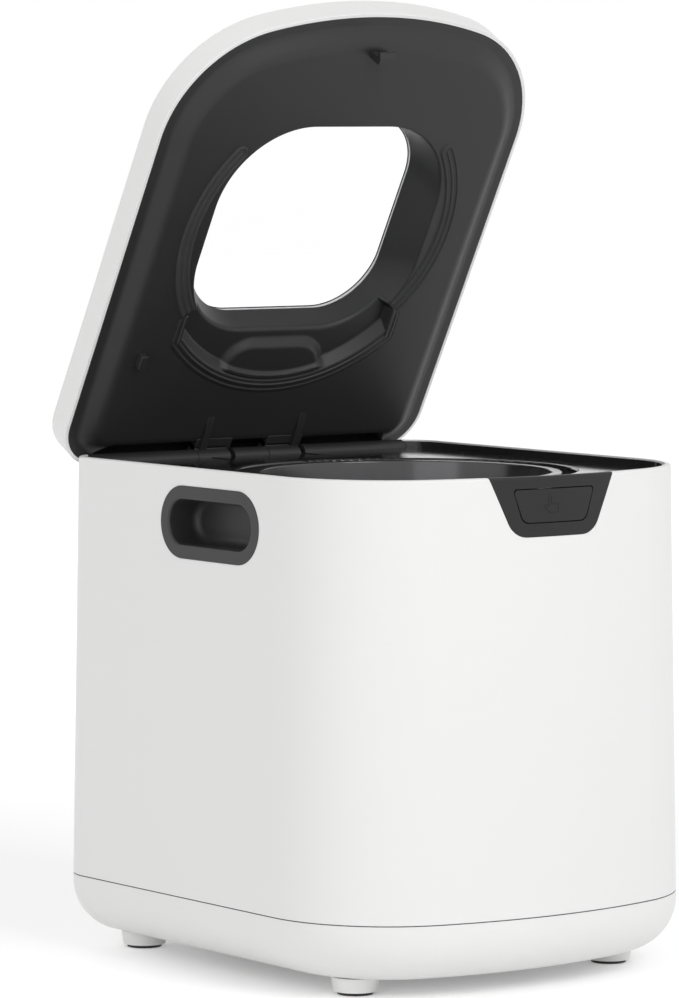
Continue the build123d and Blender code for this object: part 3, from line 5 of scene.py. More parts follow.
import bmesh
import bpy
import numpy as np
from bpy.props import FloatProperty, FloatVectorProperty, PointerProperty
from mathutils import Euler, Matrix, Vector


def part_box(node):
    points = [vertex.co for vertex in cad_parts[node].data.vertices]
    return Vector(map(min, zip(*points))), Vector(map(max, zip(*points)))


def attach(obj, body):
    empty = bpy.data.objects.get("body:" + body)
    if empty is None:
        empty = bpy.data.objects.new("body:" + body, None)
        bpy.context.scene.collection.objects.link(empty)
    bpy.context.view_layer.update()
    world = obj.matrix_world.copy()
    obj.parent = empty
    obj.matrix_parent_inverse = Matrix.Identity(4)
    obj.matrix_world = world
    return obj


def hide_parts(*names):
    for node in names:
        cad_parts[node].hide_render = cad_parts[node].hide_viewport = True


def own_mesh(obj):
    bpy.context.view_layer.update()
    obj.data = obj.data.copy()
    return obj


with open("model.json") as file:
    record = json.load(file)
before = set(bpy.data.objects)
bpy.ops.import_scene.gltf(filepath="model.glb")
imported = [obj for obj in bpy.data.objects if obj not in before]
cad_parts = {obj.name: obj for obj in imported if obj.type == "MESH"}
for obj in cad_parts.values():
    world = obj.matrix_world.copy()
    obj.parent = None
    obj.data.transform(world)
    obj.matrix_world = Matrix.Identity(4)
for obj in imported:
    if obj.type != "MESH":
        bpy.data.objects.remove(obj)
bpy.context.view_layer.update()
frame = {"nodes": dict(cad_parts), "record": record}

bl_info = {
    "name": "Food-waste composter looks",
    "version": (1, 0, 0),
    "blender": (4, 5, 0),
    "location": "3D View > Sidebar > Composter",
    "description": "Builds the surfaces, materials and studio of a kitchen composter around its solids",
    "category": "Object",
}

MM = 0.001
WHITE, GREY, BLACK, BLACK_DUST = (1, 1, 1, 1), (0.5, 0.5, 0.5, 1), (0.02, 0.02, 0.02, 1), (0.1, 0.1, 0.1, 1)
BARE_METAL = (0.55, 0.55, 0.56, 1)

# Sizes that the solids share, in millimetres and, for angles, degrees
RIM_HALF_WIDTH, RIM_REAR, RIM_HEIGHT = 135.0, 157.25, 302.0
REAR_CORNER, FRONT_CORNER, FRONT_BOW = 28.0, 77.7, 294.6
WALL_DRAFT = 0.97
SEAM_HEIGHT = 46.0
HINGE_Y, HINGE_Z = 151.7, 295.2
LID_OPEN = math.radians(60.6)
PARTING, FIELD, PANE_BOTTOM, LID_TOP = 305.0, 298.0, 319.0, 324.0
RING_Y = -10.0
BUCKET_Y, BUCKET_TOP, BUCKET_DEPTH = -14.0, 296.5, 165.0
PANEL_Y, PANEL_HALF_X, PANEL_HALF_Y, PANEL_CORNER, PANEL_THICKNESS = 104.0, 52.0, 22.0, 8.0, 1.2
POCKET_RADIUS, POCKET_HALF_WIDTH = 115.2, 84.0

# Rounded squares in the lid: middle y, half width, half depth and corner radius
TUNNEL_MOUTH = (-9.3, 83.4, 75.0, 56.6)
TUNNEL_TOP = (-11.0, 69.8, 68.0, 38.0)
OPENING = (-9.65, 72.2, 68.15, 40.0)
PANE = (-10.5, 73.0, 72.5, 42.0)

# Points on a rounded square's straights and corners where rows of a lid surface are read off it
FINE = ((120, 160), 400)
# Points along the rim's plan in the lid's surfaces, against rim_curve's own counts
RIM_DENSITY = 1.6


# ---------------------------------------------------------------- settings


class ComposterFinishes(bpy.types.PropertyGroup):
    """Colours and gloss of the composter's finishes."""

    shell_colour: FloatVectorProperty(
        name="Shell colour", description="Colour of the white mouldings", subtype="COLOR", size=4,
        min=0, max=1, default=(0.86, 0.86, 0.855, 1))
    shell_roughness: FloatProperty(
        name="Shell roughness", description="Roughness of the white mouldings", min=0, max=1, default=0.42)
    liner_colour: FloatVectorProperty(
        name="Liner colour", description="Colour of the satin black mouldings", subtype="COLOR", size=4,
        min=0, max=1, default=(0.021, 0.021, 0.022, 1))
    liner_roughness: FloatProperty(
        name="Liner roughness", description="Roughness of the satin black mouldings", min=0, max=1, default=0.46)
    deck_colour: FloatVectorProperty(
        name="Deck colour", description="Colour of the glossy black deck", subtype="COLOR", size=4,
        min=0, max=1, default=(0.02, 0.02, 0.021, 1))
    deck_roughness: FloatProperty(
        name="Deck roughness", description="Roughness of the glossy black deck", min=0, max=1, default=0.07)
    grain_depth: FloatProperty(
        name="Grain depth", description="Depth of the moulds' spark-eroded grain", subtype="DISTANCE",
        min=0, max=0.001, default=0.00002)


class ComposterStudio(bpy.types.PropertyGroup):
    """Floor, lamps and camera."""

    camera_lens: FloatProperty(
        name="Lens", description="Focal length of the camera", min=20, max=400, default=184.94)
    camera_place: FloatVectorProperty(
        name="Camera place", description="Where the camera stands", subtype="XYZ", unit="LENGTH", size=3,
        default=(-1.8503, -2.4662, 0.5146))
    camera_yaw: FloatProperty(
        name="Camera yaw", description="Turn of the camera from the object's back-to-front line", subtype="ANGLE",
        default=0.6334)
    camera_pitch: FloatProperty(
        name="Camera pitch", description="How far the camera looks down", subtype="ANGLE", default=0.0764)
    floor_size: FloatProperty(
        name="Floor size", description="Width of the floor", subtype="DISTANCE", min=1, max=40, default=24)


# ---------------------------------------------------------------- meshes


def grid_mesh(points, close_u=False, close_v=False):
    """Smooth mesh of a grid of points: rows run along the first index and columns along the second.

    Quad (i, j) joins points (i, j), (i+1, j), (i+1, j+1) and (i, j+1); a closed direction wraps round.
    """
    rows, columns, _ = points.shape
    i = np.arange(rows if close_u else rows - 1)
    j = np.arange(columns if close_v else columns - 1)
    i, j = np.meshgrid(i, j, indexing="ij")
    i2, j2 = (i + 1) % rows, (j + 1) % columns
    quads = np.stack([i * columns + j, i2 * columns + j, i2 * columns + j2, i * columns + j2], axis=-1).reshape(-1, 4)
    mesh = bpy.data.meshes.new("grid")
    mesh.vertices.add(rows * columns)
    mesh.vertices.foreach_set("co", points.reshape(-1).astype(np.float32))
    mesh.loops.add(quads.size)
    mesh.loops.foreach_set("vertex_index", quads.reshape(-1).astype(np.int32))
    mesh.polygons.add(len(quads))
    mesh.polygons.foreach_set("loop_start", np.arange(0, quads.size, 4, dtype=np.int32))
    mesh.update(calc_edges=True)
    mesh.validate()
    mesh.polygons.foreach_set("use_smooth", np.ones(len(mesh.polygons), dtype=bool))
    return mesh


def add_object(name, data):
    """Links new data into the scene as an object of the same name."""
    data.name = name
    holder = bpy.data.objects.new(name, data)
    bpy.context.scene.collection.objects.link(holder)
    return holder


def add_piece(name, mesh, body, finish, slot, *nodes):
    """Links a finished mesh as a piece that rides on a body and stands for CAD nodes."""
    piece = add_object(name, mesh)
    mesh.materials.clear()
    mesh.materials.append(finishes()[finish])
    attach(piece, body)
    if nodes:
        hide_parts(*nodes)
    return piece


def joined_mesh(meshes):
    """One mesh out of several, each keeping its own shading."""
    built = bmesh.new()
    for mesh in meshes:
        built.from_mesh(mesh)
    result = bpy.data.meshes.new("joined")
    built.to_mesh(result)
    built.free()
    for mesh in meshes:
        bpy.data.meshes.remove(mesh)
    return result


def closed_up(mesh, distance=1e-6, fill=False):
    """Fills holes if asked to, merges doubled vertices, drops faces without area and turns normals outwards."""
    built = bmesh.new()
    built.from_mesh(mesh)
    if fill:
        bmesh.ops.holes_fill(built, edges=built.edges, sides=0)
    bmesh.ops.remove_doubles(built, verts=built.verts, dist=distance)
    bmesh.ops.dissolve_degenerate(built, edges=built.edges, dist=1e-7)
    bmesh.ops.recalc_face_normals(built, faces=built.faces)
    built.to_mesh(mesh)
    built.free()
    return mesh


def cut(mesh, cutter):
    """Takes a closed cutter mesh out of a closed mesh."""
    body, tool = add_object("uncut", mesh), add_object("cutter", cutter)
    step = body.modifiers.new("cut", "BOOLEAN")
    step.operation = "DIFFERENCE"
    step.solver = "EXACT"
    step.object = tool
    bpy.context.view_layer.update()
    scene_state = bpy.context.evaluated_depsgraph_get()
    result = bpy.data.meshes.new_from_object(body.evaluated_get(scene_state))
    for used in (body, tool):
        data = used.data
        bpy.data.objects.remove(used)
        bpy.data.meshes.remove(data)
    return result


def creased(mesh, angle):
    """Smooth shading that stops at edges sharper than an angle in degrees."""
    mesh.polygons.foreach_set("use_smooth", np.ones(len(mesh.polygons), dtype=bool))
    mesh.set_sharp_from_angle(angle=math.radians(angle))
    return mesh


def closed_mesh(points, close_v=True, crease=60, **cleaning):
    """Closed and creased mesh of a grid of points in millimetres, whose last row joins its first."""
    return creased(closed_up(grid_mesh(points * MM, True, close_v), **cleaning), crease)


def prism_mesh(outline, start, end, lift):
    """Closed bar: a flat outline carried from one station to another, both ends filled.

    lift turns the outline's two coordinates and a station into points: point = lift(u, v, station).
    """
    u, v = np.asarray(outline, float).T
    points = np.stack([lift(u, v, station + 0 * u) for station in (start, end)])
    return closed_up(grid_mesh(points * MM, close_v=True), fill=True)


def bevelled(piece, width):
    """Rounds a piece's edges sharper than 30 degrees, with the same level in the view and in renders."""
    step = piece.modifiers.new("edges", "BEVEL")
    step.width = width * MM
    step.segments = 3
    step.limit_method = "ANGLE"
    step.angle_limit = math.radians(30)


# ---------------------------------------------------------------- plan curves, in millimetres


def arc_points(centre, radius, start, end, count):
    """Arc: centre + radius (cos a, sin a) with a even from start to end in degrees, and its outward normals."""
    angle = np.radians(np.linspace(start, end, count, endpoint=False))
    normal = np.stack([np.cos(angle), np.sin(angle)], axis=-1)
    return np.asarray(centre, float) + radius * normal, normal


def line_points(start, end, count):
    """Straight stretch walked anticlockwise: even steps from start to end, with the normal on its right."""
    start, end = np.asarray(start, float), np.asarray(end, float)
    along = (end - start) / np.linalg.norm(end - start)
    share = np.linspace(0, 1, count, endpoint=False)[:, None]
    normal = np.broadcast_to(np.array([along[1], -along[0]]), (count, 2))
    return start + share * (end - start), normal


def curve(*stretches):
    """Joins stretches into one closed curve: all points and all normals."""
    return np.concatenate([s[0] for s in stretches]), np.concatenate([s[1] for s in stretches])


def rim_curve(density=1.0):
    """The rim's D-shaped plan, anticlockwise from the left side's rear end.

    Straight sides and back, rear corners of one radius, front corners of a larger one, and a bowed front that meets
    them tangentially: the corner's centre lies (bow radius - corner radius) from the bow's centre.
    """
    half, rear, corner, front_corner, bow = RIM_HALF_WIDTH, RIM_REAR, REAR_CORNER, FRONT_CORNER, FRONT_BOW
    bow_y = bow - rear
    x = half - front_corner
    y = bow_y - math.sqrt((bow - front_corner) ** 2 - x * x)
    meet = math.degrees(math.atan2(bow_y - y, x))
    n = lambda count: max(4, int(count * density))
    return curve(
        line_points((-half, rear - corner), (-half, y), n(36)),
        arc_points((-x, y), front_corner, 180, 180 + meet, n(40)),
        arc_points((0, bow_y), bow, 180 + meet, 360 - meet, n(36)),
        arc_points((x, y), front_corner, 360 - meet, 360, n(40)),
        line_points((half, y), (half, rear - corner), n(36)),
        arc_points((half - corner, rear - corner), corner, 0, 90, n(24)),
        line_points((half - corner, rear), (corner - half, rear), n(48)),
        arc_points((corner - half, rear - corner), corner, 90, 180, n(24)),
    )


def squircle(y, half_x, half_y, radius, straight, corner):
    """Rounded rectangle about (0, y), anticlockwise from its right side; equal counts match point by point."""
    x, u = half_x - radius, half_y - radius
    return curve(
        line_points((half_x, y - u), (half_x, y + u), straight[0]),
        arc_points((x, y + u), radius, 0, 90, corner),
        line_points((x, y + half_y), (-x, y + half_y), straight[1]),
        arc_points((-x, y + u), radius, 90, 180, corner),
        line_points((-half_x, y + u), (-half_x, y - u), straight[0]),
        arc_points((-x, y - u), radius, 180, 270, corner),
        line_points((-x, y - half_y), (x, y - half_y), straight[1]),
        arc_points((x, y - u), radius, 270, 360, corner),
    )[0]


def rounded(corners):
    """Closed polygon of corners (x, y, radius), each turned into an arc of its radius: tangent points lie
    radius / tan(half angle) from the corner, and the arc's points swing about its centre between them."""
    corners, radii = np.split(np.asarray(corners, float), [2], axis=-1)
    result = []
    for k, (corner, (radius,)) in enumerate(zip(corners, radii)):
        if radius <= 0:
            result.append(corner[None])
            continue
        back, ahead = corners[k - 1] - corner, corners[(k + 1) % len(corners)] - corner
        back, ahead = back / np.linalg.norm(back), ahead / np.linalg.norm(ahead)
        half = math.acos(float(np.clip(back @ ahead, -1, 1))) / 2
        centre = corner + (back + ahead) / np.linalg.norm(back + ahead) * radius / math.sin(half)
        first = corner + back * radius / math.tan(half) - centre
        last = corner + ahead * radius / math.tan(half) - centre
        turn = math.atan2(first[0] * last[1] - first[1] * last[0], first @ last)
        swing = np.linspace(0, turn, 8)
        cosine, sine = np.cos(swing), np.sin(swing)
        result.append(centre + np.stack([first[0] * cosine - first[1] * sine,
                                         first[0] * sine + first[1] * cosine], axis=-1))
    return np.concatenate(result)


def turned_mesh(profile, centre_y):
    """Closed ring: a closed profile of (radius, height) turned about an upright axis through (0, centre_y)."""
    angle = np.linspace(0, 2 * math.pi, 192, endpoint=False)
    radius, height = profile[:, 0][:, None], profile[:, 1][:, None]
    points = np.stack([radius * np.cos(angle), centre_y + radius * np.sin(angle), height + 0 * angle], axis=-1)
    return closed_mesh(points, crease=50)


def bead_points(line, radius, outwards):
    """Grid of a round bead along a closed line: point = line + radius (cos a sideways + sin a outwards)."""
    outwards = np.asarray(outwards, float)
    along = np.roll(line, -1, axis=0) - np.roll(line, 1, axis=0)
    sideways = np.cross(along, outwards)
    sideways = sideways / np.linalg.norm(sideways, axis=-1, keepdims=True)
    swing = np.linspace(0, 2 * math.pi, 12, endpoint=False)[:, None]
    return line[:, None] + radius * (np.cos(swing) * sideways[:, None] + np.sin(swing) * outwards)


def at_height(plan, height):
    """Points of a flat curve, all at one height."""
    return np.concatenate([plan, np.full((len(plan), 1), height)], axis=-1)


def smooth_step(x):
    """0 below 0, 1 above 1, and x^3 (6x^2 - 15x + 10) between."""
    x = np.clip(x, 0, 1)
    return x * x * x * (x * (6 * x - 15) + 10)


def ridge(distance, height, half_width):
    """Rounded ridge along a line: its full height within half of half_width, and 0 beyond one and a half of it."""
    return height * smooth_step(1.5 - np.abs(distance) / half_width)


def growth(height):
    """How far the drafted wall stands outside the rim at a height."""
    return (RIM_HEIGHT - np.asarray(height, float)) * math.tan(math.radians(WALL_DRAFT))


def opened(points):
    """Carries points of the closed lid to the open lid: a turn about the hinge."""
    along, above = points[..., 1] - HINGE_Y, points[..., 2] - HINGE_Z
    sine, cosine = math.sin(LID_OPEN), math.cos(LID_OPEN)
    return np.stack([
        points[..., 0],
        HINGE_Y + along * cosine + above * sine,
        HINGE_Z - along * sine + above * cosine,
    ], axis=-1)


# ---------------------------------------------------------------- shader nodes


def feed(tree, node, inputs):
    """Gives each listed input of a node a value, or a link when it is given another node's socket."""
    for key, value in inputs.items():
        if isinstance(value, bpy.types.NodeSocket):
            tree.links.new(value, node.inputs[key])
        else:
            node.inputs[key].default_value = value


def add_node(tree, kind, inputs=None, **settings):
    """New shader node with its settings and its inputs."""
    node = tree.nodes.new("ShaderNode" + kind)
    for name, value in settings.items():
        setattr(node, name, value)
    feed(tree, node, inputs or {})
    return node


def worked_out(tree, operation, *values):
    """Socket of what a Math node makes of its values."""
    return add_node(tree, "Math", dict(enumerate(values)), operation=operation).outputs["Value"]


def own_place(tree):
    """Socket of the shaded point's place in its object."""
    return add_node(tree, "TexCoord").outputs["Object"]


def new_group(name, inputs, outputs):
    """Empty shader node group with named sockets, the sockets it is given and the node that takes its results."""
    group = bpy.data.node_groups.new(name, "ShaderNodeTree")
    for socket_name, socket_type, default in inputs:
        socket = group.interface.new_socket(name=socket_name, in_out="INPUT", socket_type=socket_type)
        socket.default_value = default
    for socket_name, socket_type in outputs:
        group.interface.new_socket(name=socket_name, in_out="OUTPUT", socket_type=socket_type)
    return group, group.nodes.new("NodeGroupInput").outputs, group.nodes.new("NodeGroupOutput")


def grain_group():
    """Fine spark-eroded grain of a mould with a slow waviness: puts out a height that a bump's distance scales."""
    if "moulded_grain" in bpy.data.node_groups:
        return bpy.data.node_groups["moulded_grain"]
    group, given, sink = new_group(
        "moulded_grain",
        [("Scale", "NodeSocketFloat", 1800.0), ("Waviness", "NodeSocketFloat", 9.0),
         ("Wave share", "NodeSocketFloat", 0.3)],
        [("Height", "NodeSocketFloat")])
    place = own_place(group)
    fine = add_node(group, "TexNoise", {"Vector": place, "Scale": given["Scale"], "Detail": 2.0})
    slow = add_node(group, "TexNoise", {"Vector": place, "Scale": given["Waviness"], "Detail": 1.0})
    waves = worked_out(group, "MULTIPLY", slow.outputs["Fac"], given["Wave share"])
    feed(group, sink, {"Height": worked_out(group, "ADD", fine.outputs["Fac"], waves)})
    return group


def marks_group():
    """Faint handling marks and dust: mixes a colour and a roughness by slow noise."""
    if "handling_marks" in bpy.data.node_groups:
        return bpy.data.node_groups["handling_marks"]
    group, given, sink = new_group(
        "handling_marks",
        [("Colour", "NodeSocketColor", GREY), ("Dust colour", "NodeSocketColor", GREY),
         ("Roughness", "NodeSocketFloat", 0.4), ("Spread", "NodeSocketFloat", 0.06), ("Dust", "NodeSocketFloat", 0.05),
         ("Scale", "NodeSocketFloat", 22.0)],
        [("Colour", "NodeSocketColor"), ("Roughness", "NodeSocketFloat")])
    noise = add_node(group, "TexNoise", {"Vector": own_place(group), "Scale": given["Scale"], "Detail": 4.0})
    patches = noise.outputs["Fac"]
    centred = worked_out(group, "SUBTRACT", patches, 0.5)
    roughness = worked_out(group, "MULTIPLY_ADD", centred, given["Spread"], given["Roughness"])
    amount = worked_out(group, "MULTIPLY", patches, given["Dust"])
    blend = add_node(group, "Mix", {"Factor": amount, "A": given["Colour"], "B": given["Dust colour"]},
                     data_type="RGBA")
    feed(group, sink, {"Colour": blend.outputs["Result"], "Roughness": roughness})
    return group


# ---------------------------------------------------------------- materials


def material_of(name, look, *values):
    """The material of a name; one that isn't there yet is made, and look wires its tree and Principled shader."""
    material = bpy.data.materials.get(name)
    if material is None:
        material = bpy.data.materials.new(name)
        material.use_nodes = True
        look(material.node_tree, material.node_tree.nodes["Principled BSDF"], *values)
    return material


def spread_roughness(tree, texture, low, high):
    """Socket of a roughness that follows a texture from low to high."""
    spread = add_node(tree, "MapRange", {"Value": texture, "To Min": low, "To Max": high})
    return spread.outputs["Result"]


def bumped(tree, height, distance, strength=1.0):
    """Socket of a normal bumped by a height."""
    bump = add_node(tree, "Bump", {"Height": height, "Distance": distance, "Strength": strength})
    return bump.outputs["Normal"]


def grain_height(tree, scale):
    """Socket of the mould grain's height."""
    return add_node(tree, "Group", {"Scale": scale}, node_tree=grain_group()).outputs["Height"]


def moulded_plastic(tree, shader, colour, roughness, grain_depth, dust_colour, dust, grain_scale=1800.0, specular=0.5):
    """Injection-moulded plastic: even colour with faint marks, fine grain and a little waviness."""
    marks = add_node(tree, "Group", {"Colour": colour, "Dust colour": dust_colour, "Roughness": roughness,
                                     "Dust": dust}, node_tree=marks_group()).outputs
    feed(tree, shader, {
        "Base Color": marks["Colour"], "Roughness": marks["Roughness"], "Specular IOR Level": specular,
        "Normal": bumped(tree, grain_height(tree, grain_scale), grain_depth)})


def spun_metal(tree, shader, colour, roughness, centre=(0.0, 0.0, 0.0)):
    """Lathe-turned metal: rings about an upright axis that vary its roughness and its normal."""
    mapping = add_node(tree, "Mapping", {"Vector": own_place(tree), "Location": [-c for c in centre]})
    rings = add_node(tree, "TexWave", {"Vector": mapping.outputs["Vector"], "Scale": 900.0, "Distortion": 1.5,
                                       "Detail": 3.0}, wave_type="RINGS", rings_direction="Z").outputs["Fac"]
    feed(tree, shader, {
        "Base Color": colour, "Metallic": 1.0,
        "Roughness": spread_roughness(tree, rings, roughness - 0.05, roughness + 0.07),
        "Normal": bumped(tree, rings, 0.00001, 0.5)})


def coated_metal(tree, shader, colour, roughness):
    """Dark non-stick coat on metal: satin layer with slow streaks along the wall's draw direction."""
    mapping = add_node(tree, "Mapping", {"Vector": own_place(tree), "Scale": (1.0, 1.0, 0.08)})
    streaks = add_node(tree, "TexNoise", {"Vector": mapping.outputs["Vector"], "Scale": 160.0, "Detail": 3.0})
    feed(tree, shader, {
        "Base Color": colour, "Metallic": 0.6,
        "Roughness": spread_roughness(tree, streaks.outputs["Fac"], roughness - 0.05, roughness + 0.06),
        "Normal": bumped(tree, grain_height(tree, 2600.0), 0.000012)})


def clear_pane(tree, shader):
    """Clear moulded window whose gloss varies with faint handling marks."""
    marks = add_node(tree, "TexNoise", {"Vector": own_place(tree), "Scale": 40.0})
    feed(tree, shader, {
        "Base Color": WHITE, "Transmission Weight": 1.0, "IOR": 1.06,
        "Roughness": spread_roughness(tree, marks.outputs["Fac"], 0.0, 0.02)})


def finishes():
    """The composter's finishes by name."""
    look = bpy.context.scene.composter_finishes
    grain = look.grain_depth

    def satin_black(brightness, dust, specular):
        colour = tuple(brightness * value for value in look.liner_colour[:3]) + (1,)
        return colour, look.liner_roughness, grain * 1.5, BLACK_DUST, dust, 1400.0, specular

    rows = {
        "shell": ("white_moulding", moulded_plastic, tuple(look.shell_colour), look.shell_roughness, grain,
                  (0.72, 0.71, 0.69, 1), 0.02),
        "liner": ("satin_black_moulding", moulded_plastic, *satin_black(1.0, 0.05, 0.36)),
        "trim": ("deep_black_moulding", moulded_plastic, *satin_black(0.72, 0.04, 0.3)),
        "cup": ("soft_black_moulding", moulded_plastic, *satin_black(1.5, 0.05, 0.4)),
        "deck": ("gloss_black_moulding", moulded_plastic, tuple(look.deck_colour), look.deck_roughness, grain * 0.3,
                 BLACK_DUST, 0.04),
        "rubber": ("black_rubber", moulded_plastic, BLACK, 0.75, grain * 3, (0.14, 0.14, 0.14, 1), 0.15, 900.0),
        "bucket": ("spun_bucket_metal", spun_metal, BARE_METAL, 0.28, (0, BUCKET_Y * MM, 0)),
        "coat": ("non_stick_coat", coated_metal, (0.085, 0.085, 0.088, 1), 0.15),
        "steel": ("turned_steel", spun_metal, BARE_METAL, 0.3),
        "brass": ("turned_brass", spun_metal, (0.78, 0.6, 0.3, 1), 0.3),
        "acetal": ("cream_acetal", moulded_plastic, (0.75, 0.72, 0.62, 1), 0.45, grain, GREY, 0.03),
        "carbon": ("carbon_granules", moulded_plastic, BLACK, 0.9, 0.0006, (0.08, 0.08, 0.08, 1), 0.3, 260.0),
        "board": ("green_circuit_board", moulded_plastic, (0.03, 0.16, 0.06, 1), 0.5, grain, (0.2, 0.35, 0.2, 1), 0.1),
        "pane": ("clear_window", clear_pane),
    }
    return {finish: material_of(*row) for finish, row in rows.items()}


NODE_FINISH = {"release_bezel": "trim", "release_button": "trim", "hand_cup_left": "cup", "hand_cup_right": "cup"}
SLOT_FINISH = {
    "white_shell": "shell", "black_gloss": "deck", "black_plastic": "liner", "rubber": "rubber", "window": "pane",
    "aluminium": "bucket", "steel": "steel", "brass": "brass", "gear_plastic": "acetal", "carbon": "carbon",
    "board": "board",
}


# ---------------------------------------------------------------- operators


class COMPOSTER_OT_stage(bpy.types.Operator):
    """Builds the floor, the world, the lamps and the camera"""

    bl_idname = "composter.stage"
    bl_label = "Studio"

    def execute(self, context):
        studio = context.scene.composter_studio
        half = studio.floor_size / 2
        steps = np.linspace(-half, half, 9)
        x, y = np.meshgrid(steps, steps, indexing="ij")
        floor = add_object("studio_floor", grid_mesh(np.stack([x, y, np.zeros_like(x)], axis=-1)))
        floor.data.materials.append(material_of("studio_floor_white", self.floor_look))
        self.world(context)
        self.lamp("key_lamp", (0.2, -2.9, 2.2), (0, 0, 0.2), 1.6, 34)
        self.lamp("fill_lamp", (-3.0, -1.6, 1.4), (0, 0, 0.25), 2.4, 16)
        self.lamp("back_lamp", (0.3, 3.0, 2.4), (0, 0, 0.3), 2.4, 8)
        camera = bpy.data.cameras.new("studio_camera")
        camera.lens = studio.camera_lens
        camera.sensor_width = 36.0
        camera.clip_end = 100.0
        eye = add_object("studio_camera", camera)
        eye.location = studio.camera_place
        eye.rotation_euler = Euler((math.pi / 2 - studio.camera_pitch, 0, -studio.camera_yaw))
        context.scene.camera = eye
        context.scene.view_settings.view_transform = "Standard"
        return {"FINISHED"}

    def floor_look(self, tree, shader):
        """White floor that keeps shadows; seen directly it is lifted to the backdrop's white, less so right under the
        object, where that paints a contact shadow, and for every ray it glows a little, which paints bounce light onto
        the object's lower parts.
        """
        tree.nodes.clear()
        diffuse = add_node(tree, "BsdfDiffuse", {"Color": (0.9, 0.9, 0.9, 1)})
        distance = add_node(tree, "VectorMath", {0: own_place(tree)}, operation="LENGTH").outputs["Value"]
        lift = self.faded(tree, distance, (0.5, 1.8), (0.26, 0.46))
        # Less lift under the object paints a contact shadow there
        painted_contact_shadow = self.faded(tree, distance, (0.06, 0.2), (0.2, 0.0))
        lifted = worked_out(tree, "SUBTRACT", lift, painted_contact_shadow)
        # The 0.075 glow reaches every ray: painted bounce light from the floor onto the base and feet
        strength = worked_out(tree, "MULTIPLY_ADD", self.seen_directly(tree), lifted, 0.075)
        glow = add_node(tree, "Emission", {"Color": WHITE, "Strength": strength})
        both = add_node(tree, "AddShader", {0: diffuse.outputs["BSDF"], 1: glow.outputs["Emission"]})
        add_node(tree, "OutputMaterial", {"Surface": both.outputs["Shader"]})

    def faded(self, tree, value, span, ends):
        """Socket that goes from one end to the other, eased, as a value crosses a span."""
        fade = add_node(tree, "MapRange", {"Value": value, "From Min": span[0], "From Max": span[1], "To Min": ends[0],
                                           "To Max": ends[1]}, interpolation_type="SMOOTHSTEP")
        return fade.outputs["Result"]

    def seen_directly(self, tree):
        """1 for rays from the camera, off gloss or through the window, and 0 for rays that light things."""
        path = add_node(tree, "LightPath").outputs
        first = worked_out(tree, "MAXIMUM", path["Is Camera Ray"], path["Is Transmission Ray"])
        return worked_out(tree, "MAXIMUM", first, path["Is Glossy Ray"])

    def world(self, context):
        """Even studio light; seen directly, in gloss or through the window it is plain white."""
        world = bpy.data.worlds.new("studio_world")
        context.scene.world = world
        world.use_nodes = True
        tree = world.node_tree
        tree.nodes.clear()
        aim = add_node(tree, "TexCoord").outputs["Generated"]
        upwards = add_node(tree, "SeparateXYZ", {0: aim}).outputs["Z"]
        dome = add_node(tree, "MapRange", {"Value": upwards, "From Min": -0.3, "To Min": 0.98, "To Max": 0.43})
        lit = add_node(tree, "Background", {"Color": WHITE, "Strength": dome.outputs["Result"]})
        seen = add_node(tree, "Background", {"Color": WHITE, "Strength": 1.0})
        mix = add_node(tree, "MixShader", {"Fac": self.seen_directly(tree), 1: lit.outputs["Background"],
                                           2: seen.outputs["Background"]})
        add_node(tree, "OutputWorld", {"Surface": mix.outputs["Shader"]})

    def lamp(self, name, place, target, size, power):
        """Square soft box at a place, aimed at a target."""
        light = bpy.data.lights.new(name, "AREA")
        light.shape = "SQUARE"
        light.size = size
        light.energy = power
        holder = add_object(name, light)
        holder.location = place
        holder.rotation_euler = (Vector(target) - Vector(place)).to_track_quat("-Z", "Y").to_euler()


class COMPOSTER_OT_solids(bpy.types.Operator):
    """Gives every solid that stays in view its finish"""

    bl_idname = "composter.solids"
    bl_label = "Finishes of the solids"

    def execute(self, context):
        looks = finishes()
        slots = {part["node"]: part["material_slot"] for part in frame["record"]["subparts"]}
        for node, solid in frame["nodes"].items():
            finish = looks[NODE_FINISH.get(node, SLOT_FINISH[slots[node]])]
            solid.data.materials.clear()
            solid.data.materials.append(finish)
        return {"FINISHED"}


class COMPOSTER_OT_seam_shade_strip(bpy.types.Operator):
    """Builds a thin dark strip at the bottom of the groove between the body and the base tray: painted shade that
    darkens the seam line
    """

    bl_idname = "composter.seam_seal"
    bl_label = "Seam shade strip"

    def execute(self, context):
        inset, radius = 0.42, 0.3
        plan, normals = rim_curve(RIM_DENSITY)
        line = at_height(plan + normals * (growth(SEAM_HEIGHT) - inset), SEAM_HEIGHT)
        # A black bead in the groove paints the seam's shade as a dark line
        add_piece("seam_seal", closed_mesh(bead_points(line, radius, (0, 0, 1))), "housing", "rubber", "rubber")
        return {"FINISHED"}


